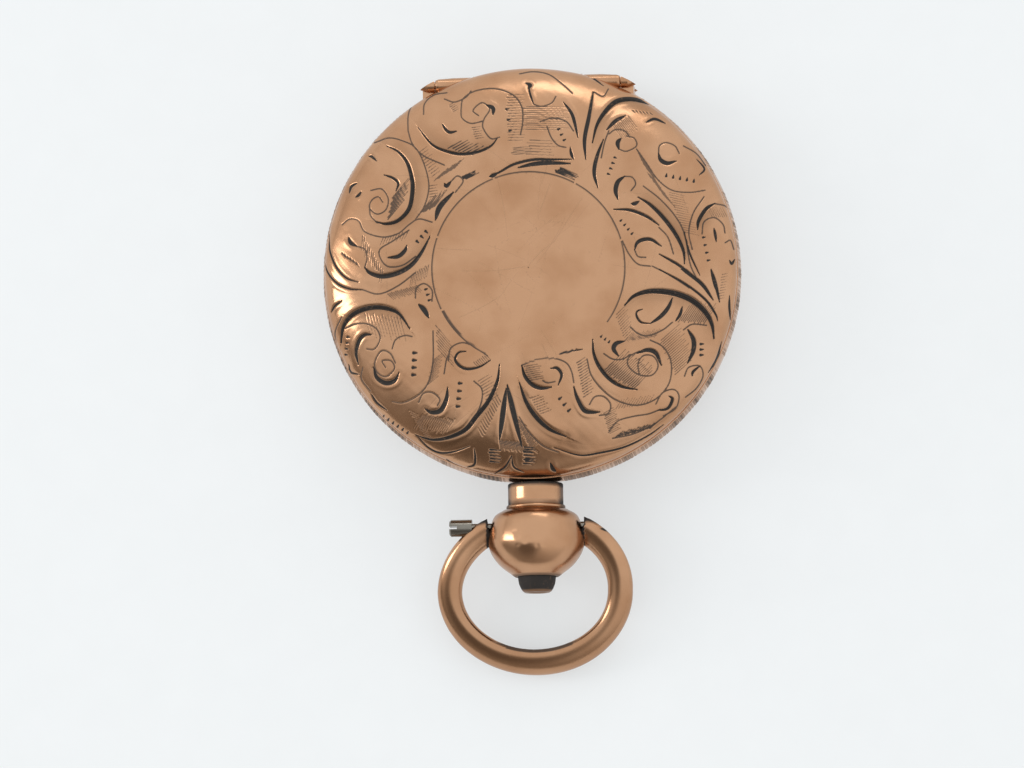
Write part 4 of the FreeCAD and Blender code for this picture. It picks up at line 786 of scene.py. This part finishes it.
def push_piece():
    """The dark button with its dished end, and the stem that reaches the lock spring."""
    outline = [
        (0.05, -28.83), (0.6, -28.83), (0.82, -28.84), (0.98, -28.93), (1.12, -28.94), (1.3, -28.82),
        (1.46, -28.58), (1.64, -28.15), (1.7, -27.75), (1.72, -27.5), (1.72, -26.8), (0.8, -26.78),
        (0.8, -17.7), (0.05, -17.7),
    ]
    segments = 120
    obj = lathe("push_piece_worn", outline, segments, "y", 0.012, 31)
    y = np.repeat([p[1] for p in outline], segments)
    attribute(obj, "ink_and_shade", np.clip((y + 28.9) / 0.25, 0.25, 0.93))
    attribute(obj, "low", np.ones(len(y)))
    return obj


def bow():
    """Heavy round wire bent to an ellipse, a little worn, with painted shade where its ends meet the ball."""
    gap = math.radians(BOW_OPEN_DEG)
    spin = np.linspace(gap + 0.12, 2 * math.pi - gap - 0.12, 180)
    path = np.stack([BOW_ACROSS * np.sin(spin), BOW_ALONG * np.cos(spin) - BOW_CENTRE, 0 * spin], 1)
    tangent = np.gradient(path, axis=0)
    tangent /= np.linalg.norm(tangent, axis=1)[:, None]
    across = np.stack([tangent[:, 1], -tangent[:, 0], 0 * spin], 1)
    up = np.array([0, 0, 1.0])
    round_wire = 44
    turn = 2 * np.pi * np.arange(round_wire) / round_wire
    rings = []
    for n, (p, a) in enumerate(zip(path, across)):
        radius = WIRE_R - 0.02 + 0.02 * ripple(np.cos(turn), np.sin(turn), n / 9 + 0 * turn, 41)
        rings.append(p + (radius * np.cos(turn))[:, None] * a + (radius * np.sin(turn))[:, None] * up)
    rings = [end_ring(rings[0], tangent[0])] + rings + [end_ring(rings[-1], tangent[-1])]
    first, last = cap_rings(rings[0]), cap_rings(rings[-1])
    points = np.concatenate([first[::-1], np.array(rings), last]).reshape(-1, 3)
    points[:, 1] = np.minimum(points[:, 1], 0.6)
    low, side = -points[:, 1], np.abs(points[:, 0])
    points[:, 0] -= BOW_LEAN * np.clip(low / 6, 0, 1)
    # Painted shade on the wire's ends and end faces, where they meet the ball.
    end_shade = 0.75 * np.clip((0.3 - low) / 0.5, 0, 1) + np.clip((4.5 - side) / 0.1, 0, 1) * (low < 3)
    inner = np.hypot(side / BOW_ACROSS, (low - BOW_CENTRE) / BOW_ALONG) < 0.91
    worn = 0.62 * np.clip((low - 10.5) / 0.5, 0, 1) * inner
    nick = np.exp(-(((side - 6.4) / 0.42) ** 2) - ((low - 0.62) / 0.16) ** 2) * (points[:, 0] > 0)
    droop = math.radians(BOW_DROOP)
    y, z = points[:, 1].copy(), points[:, 2].copy()
    points[:, 1] = PIVOT_Y + y * math.cos(droop) + z * math.sin(droop)
    points[:, 2] = y * math.sin(droop) + z * math.cos(droop)
    obj = new_mesh("bow_worn", points, grid_faces(len(points) // round_wire, round_wire))
    attribute(obj, "ink_and_shade", np.clip(end_shade + worn + 2 * nick, 0, 1))
    # Darkens the gold slightly towards the bow's far end.
    attribute(obj, "low", np.clip((low - 3) / 9, 0, 0.3))
    return obj


def end_ring(ring, tangent):
    """The wire's last ring, slid along the wire onto the flat face beside the ball."""
    side = np.sign(ring[0, 0])
    reach = (side * (BOW_GAP + 0.01) - ring[:, 0]) / tangent[0]
    return ring + reach[:, None] * tangent


def cap_rings(ring):
    """Smaller and smaller rings that close the wire's end."""
    middle = ring.mean(0)
    return np.array([middle + (ring - middle) * share for share in (0.94, 0.5, 0.02)])


# ---- dial printing ----
def bar(a, b, width, z0, z1):
    """A flat printed stroke from a to b, as a thin box: its points and faces."""
    a, b = np.array(a, float), np.array(b, float)
    side = np.array([-(b - a)[1], (b - a)[0]])
    side = side / np.linalg.norm(side) * width / 2
    flat = [a + side, b + side, b - side, a - side]
    points = [(p[0], p[1], z) for z in (z0, z1) for p in flat]
    faces = [(0, 1, 2, 3), (7, 6, 5, 4), (0, 4, 5, 1), (1, 5, 6, 2), (2, 6, 7, 3), (3, 7, 4, 0)]
    return points, faces


NUMERALS = ("XII", "I", "II", "III", "IIII", "V", "VI", "VII", "VIII", "IX", "X", "XI")
LETTER_WIDTH = {"I": 0.62, "V": 1.15, "X": 1.2}


def numeral_strokes(text, height):
    """Centre lines and widths of a Roman numeral that stands on y = 0, with its serifs."""
    strokes = []
    x = -sum(LETTER_WIDTH[c] for c in text) / 2
    for letter in text:
        w = LETTER_WIDTH[letter]
        left, right, middle = x + 0.12, x + w - 0.12, x + w / 2
        if letter == "I":
            strokes += [((middle, 0), (middle, height), 0.26)]
            strokes += [((middle - 0.25, y), (middle + 0.25, y), 0.07) for y in (0, height)]
        elif letter == "V":
            strokes += [((left, height), (middle, 0), 0.26), ((right, height), (middle, 0), 0.09)]
            strokes += [((left - 0.14, height), (right + 0.14, height), 0.07)]
        else:
            strokes += [((left, height), (right, 0), 0.26), ((right, height), (left, 0), 0.09)]
            strokes += [((left - 0.14, y), (right + 0.14, y), 0.07) for y in (0, height)]
        x += w
    return strokes


def dial_printing():
    """Roman numerals, minute ring and the two circles that hold it."""
    points, faces = [], []
    z0, z1 = DIAL_Z - 0.02, DIAL_Z + 0.01
    ring_in, ring_out = 13.3, 14.0
    foot, height = 9.7, 2.7  # the numerals' feet, and how tall they are

    def add(a, b, width):
        p, f = bar(a, b, width, z0, z1)
        faces.extend([tuple(v + len(points) for v in face) for face in f])
        points.extend(p)

    for hour, text in enumerate(NUMERALS):
        angle = math.radians(180 + 30 * hour)
        out = np.array([math.cos(angle), math.sin(angle)])
        across = np.array([math.sin(angle), -math.cos(angle)])
        for a, b, width in numeral_strokes(text, height):
            start, end = [-across * p[0] + out * (foot + p[1]) for p in (a, b)]
            add(start, end, width)
    for minute in range(60):
        angle = math.radians(6 * minute)
        out = np.array([math.cos(angle), math.sin(angle)])
        width = 0.22 if minute % 5 == 0 else 0.08
        add(out * ring_in, out * ring_out, width)
    for radius in (ring_in, ring_out):
        for n in range(180):
            ends = [math.radians(2 * n + past) for past in (0, 2.05)]
            start, end = [(radius * math.cos(a), radius * math.sin(a)) for a in ends]
            add(start, end, 0.06)
    return new_mesh("dial_printing", points, faces, smooth=False)


# ---- materials ----
def node(tree, kind, **settings):
    """A new shader node with some of its settings or inputs set."""
    made = tree.nodes.new(kind)
    for key, value in settings.items():
        if key in made.bl_rna.properties:
            setattr(made, key, value)
        else:
            made.inputs[key].default_value = value
    return made


def link(tree, a, b):
    tree.links.new(a, b)


def mix_colour(tree, factor, a, b):
    made = tree.nodes.new("ShaderNodeMix")
    made.data_type = "RGBA"
    link(tree, factor, made.inputs[0])
    for socket, value in ((made.inputs[6], a), (made.inputs[7], b)):
        if isinstance(value, tuple):
            socket.default_value = (*value, 1)
        else:
            link(tree, value, socket)
    return made.outputs[2]


def mix_value(tree, factor, a, b):
    made = tree.nodes.new("ShaderNodeMix")
    link(tree, factor, made.inputs[0])
    for socket, value in ((made.inputs[2], a), (made.inputs[3], b)):
        if isinstance(value, (int, float)):
            socket.default_value = value
        else:
            link(tree, value, socket)
    return made.outputs[0]


def noise(tree, scale, detail=4.0, stretch=None):
    """Noise over the object's own space, in features per metre. stretch draws it out along one way."""
    coords = tree.nodes.new("ShaderNodeTexCoord")
    made = node(tree, "ShaderNodeTexNoise", Scale=scale, Detail=detail)
    source = coords.outputs["Object"]
    if stretch:
        mapping = tree.nodes.new("ShaderNodeMapping")
        mapping.inputs["Scale"].default_value = stretch
        link(tree, source, mapping.inputs["Vector"])
        source = mapping.outputs["Vector"]
    link(tree, source, made.inputs["Vector"])
    return made.outputs["Fac"]


def ramp(tree, source, low, high):
    made = tree.nodes.new("ShaderNodeMapRange")
    made.inputs["From Min"].default_value = low
    made.inputs["From Max"].default_value = high
    link(tree, source, made.inputs["Value"])
    return made.outputs["Result"]


def surface(name):
    material = bpy.data.materials.new(name)
    material.use_nodes = True
    tree = material.node_tree
    return material, tree, tree.nodes["Principled BSDF"]


def bump(tree, shader, height, distance, strength=0.6):
    made = node(tree, "ShaderNodeBump", Distance=distance, Strength=strength)
    link(tree, height, made.inputs["Height"])
    link(tree, made.outputs["Normal"], shader.inputs["Normal"])


def metal(name, bright, dull, roughness, grain=5200.0, grain_depth=0.000004):
    """Aged metal: broad tarnish, fine grain and hairline scratches."""
    material, tree, shader = surface(name)
    tarnish = ramp(tree, noise(tree, 260.0, 5.0), 0.42, 0.66)
    colour = mix_colour(tree, tarnish, bright, dull)
    link(tree, colour, shader.inputs["Base Color"])
    scratches = ramp(tree, noise(tree, 900.0, 2.0, (1.0, 14.0, 3.0)), 0.5, 0.72)
    rough = mix_value(tree, scratches, roughness, roughness + 0.09)
    rough_patches = mix_value(tree, tarnish, rough, roughness + 0.1)
    link(tree, rough_patches, shader.inputs["Roughness"])
    shader.inputs["Metallic"].default_value = 1.0
    bump(tree, shader, noise(tree, grain, 6.0), grain_depth)
    return material


GOLD_BRIGHT = (0.56, 0.318, 0.183)
GOLD_DULL = (0.47, 0.25, 0.135)
# Near-black: the dark polish in engraved cuts, also used as painted shade on the neck and on the bow's ends.
INK_AND_SHADE = (0.016, 0.011, 0.008)


def engraved_gold(name):
    """Rose gold whose cuts are filled with old dark polish. It reads the engraving from the mesh."""
    material, tree, shader = surface(name)
    ink_and_shade = node(tree, "ShaderNodeAttribute", attribute_name="ink_and_shade").outputs["Fac"]
    low = node(tree, "ShaderNodeAttribute", attribute_name="low").outputs["Fac"]
    tarnish = ramp(tree, noise(tree, 230.0, 6.0), 0.40, 0.68)
    gold = mix_colour(tree, tarnish, GOLD_BRIGHT, GOLD_DULL)
    # The low attribute mixes the gold towards a dark brown: painted shade on the covers' carved slopes, next
    # to the neck and at the sides of the neck and ball; a slight darkening towards the bow's far end; and the
    # push piece's own dark tone.
    low_share = node(tree, "ShaderNodeMath", operation="MULTIPLY", use_clamp=True)
    low_share.inputs[1].default_value = 0.5
    link(tree, low, low_share.inputs[0])
    shaded = mix_colour(tree, low_share.outputs[0], gold, (0.16, 0.085, 0.045))
    speck = ramp(tree, noise(tree, 3400.0, 3.0), -0.3, 0.4)
    # The dark attribute mixes in the near-black: dark polish in the cuts, dirt on the band, the button's dark
    # body, and painted shade and shadow on the neck and the bow's ends.
    dark_share = node(tree, "ShaderNodeMath", operation="MULTIPLY")
    link(tree, ramp(tree, ink_and_shade, 0.15, 0.7), dark_share.inputs[0])
    link(tree, speck, dark_share.inputs[1])
    link(tree, mix_colour(tree, dark_share.outputs[0], shaded, INK_AND_SHADE), shader.inputs["Base Color"])
    link(tree, mix_value(tree, dark_share.outputs[0], 1.0, 0.0), shader.inputs["Metallic"])
    scratches = ramp(tree, noise(tree, 2600.0, 3.0, (1.0, 5.0, 3.0)), 0.5, 0.75)
    rough = mix_value(tree, scratches, 0.19, 0.25)
    rough = mix_value(tree, tarnish, rough, 0.27)
    link(tree, mix_value(tree, dark_share.outputs[0], rough, 0.7), shader.inputs["Roughness"])
    bump(tree, shader, noise(tree, 4200.0, 6.0), 0.000003)
    return material


def clouded(name, cloud, colours, roughness):
    """A smooth material that drifts between two colours and two roughnesses where the cloud falls."""
    material, tree, shader = surface(name)
    share = ramp(tree, noise(tree, *cloud["noise"]), *cloud["between"])
    link(tree, mix_colour(tree, share, *colours), shader.inputs["Base Color"])
    link(tree, mix_value(tree, share, *roughness), shader.inputs["Roughness"])
    return material, tree, shader


def enamel():
    cloud = {"noise": (700.0, 5.0), "between": (0.35, 0.7)}
    material, tree, shader = clouded("enamel", cloud, ((0.86, 0.85, 0.80), (0.80, 0.78, 0.71)), (0.12, 0.2))
    bump(tree, shader, noise(tree, 400.0, 3.0), 0.00001, 0.2)
    return material


def print_ink():
    cloud = {"noise": (2500.0, 4.0), "between": (0.3, 0.7)}
    return clouded("dial_ink", cloud, ((0.012, 0.012, 0.014), (0.03, 0.03, 0.035)), (0.3, 0.5))[0]


def glass():
    wear = {"noise": (1500.0, 3.0, (1.0, 9.0, 2.0)), "between": (0.55, 0.8)}
    material, _, shader = clouded("watch_glass", wear, ((0.97, 0.98, 0.97), (0.93, 0.95, 0.94)), (0.01, 0.06))
    shader.inputs["Transmission Weight"].default_value = 1.0
    shader.inputs["IOR"].default_value = 1.5
    return material


def ruby():
    cloud = {"noise": (2500.0, 3.0), "between": (0.3, 0.7)}
    material, _, shader = clouded("ruby", cloud, ((0.55, 0.03, 0.08), (0.40, 0.01, 0.05)), (0.06, 0.14))
    shader.inputs["Coat Weight"].default_value = 0.6
    return material


def paint_cad(frame):
    """Gives every carried-over CAD piece its own worn material."""
    steel = metal("steel", (0.27, 0.25, 0.215), (0.14, 0.125, 0.105), 0.2)
    blued = metal("blued_steel", (0.05, 0.09, 0.30), (0.03, 0.05, 0.16), 0.22)
    spring = metal("spring_steel", (0.34, 0.34, 0.36), (0.22, 0.21, 0.21), 0.3)
    brass = metal("brass", (0.80, 0.60, 0.28), (0.62, 0.43, 0.19), 0.27)
    frosting = {"grain": 9000.0, "grain_depth": 0.000012}
    gilt = metal("gilt_brass", (0.86, 0.64, 0.30), (0.74, 0.52, 0.24), 0.38, **frosting)
    gold = metal("case_gold", GOLD_BRIGHT, GOLD_DULL, 0.2, grain=3800.0, grain_depth=0.000003)
    inner = metal("cuvette_metal", (0.80, 0.55, 0.33), (0.62, 0.40, 0.24), 0.17)
    dark = metal("dark_metal", (0.10, 0.07, 0.055), (0.045, 0.032, 0.027), 0.36)
    looks = {
        "steel": steel, "blued_steel": blued, "spring_steel": spring, "brass": brass, "gilt_brass": gilt,
        "case_gold": gold, "bow_gold": gold, "cuvette_metal": inner, "dark_metal": dark, "enamel": enamel(),
        "glass": glass(), "ruby": ruby(),
    }
    slots = {s["node"]: s["material_slot"] for s in frame["record"]["subparts"]}
    for name, obj in frame["nodes"].items():
        obj.data.materials.clear()
        obj.data.materials.append(looks[slots[name]])
    return looks


def dress(obj, material, slot, body, *stands_for):
    """Material, CAD body and the CAD nodes that a new piece stands for."""
    obj.data.materials.clear()
    obj.data.materials.append(material)
    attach(obj, body)
    if stands_for:
        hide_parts(*stands_for)
    return obj


# ---- stage ----
def floor():
    """A pale floor that glows a little, as a light table does: the photo's shadows are that faint."""
    mesh = bpy.data.meshes.new("floor")
    size = 2.0
    low = -(FRONT_TOP + 0.02) * MM
    corners = [(-size, -size, low), (size, -size, low), (size, size, low), (-size, size, low)]
    mesh.from_pydata(corners, [], [(0, 1, 2, 3)])
    obj = place("floor", mesh)
    material, tree, shader = surface("paper")
    grain = ramp(tree, noise(tree, 300.0, 4.0), 0.3, 0.7)
    paper = mix_colour(tree, grain, (0.385, 0.39, 0.392), (0.375, 0.38, 0.382))
    link(tree, paper, shader.inputs["Base Color"])
    shader.inputs["Roughness"].default_value = 0.9
    shader.inputs["Emission Color"].default_value = (0.465, 0.48, 0.485, 1)
    shader.inputs["Emission Strength"].default_value = 1.0
    mesh.materials.append(material)


def softbox(name, where, size, power):
    """A square lamp that faces the watch."""
    data = bpy.data.lights.new(name, "AREA")
    data.shape = "RECTANGLE"
    data.size, data.size_y = size
    data.energy = power
    lamp = place(name, data)
    lamp.location = where
    lamp.rotation_euler = (-Vector(where)).to_track_quat("-Z", "Y").to_euler()


def room_light():
    """A bright room behind the watch. Only reflections see its darker side, and the photographer."""
    world = bpy.data.worlds.new("room")
    bpy.context.scene.world = world
    world.use_nodes = True
    tree = world.node_tree
    coords = tree.nodes.new("ShaderNodeTexCoord")

    def facing(direction, far, near):
        """0 away from the direction, rising to 1 towards it, between two cosines."""
        aim = tree.nodes.new("ShaderNodeVectorMath")
        aim.operation = "DOT_PRODUCT"
        aim.inputs[1].default_value = Vector(direction).normalized()
        link(tree, coords.outputs["Generated"], aim.inputs[0])
        shade = tree.nodes.new("ShaderNodeMapRange")
        shade.interpolation_type = "SMOOTHSTEP"
        shade.inputs["From Min"].default_value = far
        shade.inputs["From Max"].default_value = near
        link(tree, aim.outputs["Value"], shade.inputs["Value"])
        return shade.outputs["Result"]

    window = facing((0.46, 0.6, 0.62), -0.6, 0.4)
    colour = mix_colour(tree, window, (0.30, 0.28, 0.26), (0.97, 0.99, 1.0))
    photographer = facing((-0.3, -0.66, 0.70), 0.84, 0.98)
    colour = mix_colour(tree, photographer, colour, (0.16, 0.145, 0.13))
    path = tree.nodes.new("ShaderNodeLightPath")
    colour = mix_colour(tree, path.outputs["Is Glossy Ray"], (0.95, 0.97, 0.98), colour)
    background = tree.nodes["Background"]
    link(tree, colour, background.inputs["Color"])
    background.inputs["Strength"].default_value = 1.0
    softbox("left_window", (-0.80, 0.10, 0.36), (0.2, 0.5), 1.8)
    softbox("back_window", (0.15, 0.75, 0.45), (0.5, 0.2), 0.7)


def camera():
    """Looks at the watch from the photo's side, with the same width across the picture."""
    back = view_direction()
    centre = Vector(VIEW_CENTRE) * MM
    up = (Vector((0, 1, 0)) - back * back.y).normalized()
    up = Quaternion(back, -math.radians(VIEW_ROLL)) @ up
    right = up.cross(back)
    data = bpy.data.cameras.new("camera")
    data.lens = data.sensor_width * VIEW_DISTANCE / (VIEW_WIDTH * MM)
    data.clip_start, data.clip_end = 0.05, 10
    obj = place("camera", data)
    turn = Matrix([(right[i], up[i], back[i]) for i in range(3)])
    obj.rotation_mode = "QUATERNION"
    obj.rotation_quaternion = turn.to_quaternion()
    obj.location = centre + back * VIEW_DISTANCE
    bpy.context.scene.camera = obj


def build():
    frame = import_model()
    looks = paint_cad(frame)
    gold, knuckle_gold = engraved_gold("engraved_gold"), looks["case_gold"]
    back = cover("back_cover_engraved", BACK_TOP, engrave_back, True)
    dress(back, gold, "case_gold", "back_cover", "back_cover")
    front = cover("front_cover_engraved", FRONT_TOP, engrave_front, False)
    dress(front, gold, "case_gold", "front_cover", "front_cover")
    back = knuckles("back_cover_knuckles", 5.05, 8.4, HINGE_Z, 51)
    dress(back, knuckle_gold, "case_gold", "back_cover")
    front = knuckles("front_cover_knuckles", 2.05, 8.4, -HINGE_Z, 53)
    dress(front, knuckle_gold, "case_gold", "front_cover")
    dress(band_milling(), gold, "case_gold", "case")
    dress(pendant_neck(), gold, "case_gold", "case", "pendant_neck")
    dress(pendant_ball(), gold, "case_gold", "case", "pendant_ball")
    dress(push_piece(), gold, "dark_metal", "push_piece", "push_piece")
    dress(bow(), engraved_gold("worn_gold"), "bow_gold", "bow", "bow")
    dress(dial_printing(), print_ink(), "enamel", "case")
    floor()
    room_light()
    camera()
    bpy.context.scene.view_settings.view_transform = "Standard"


build()
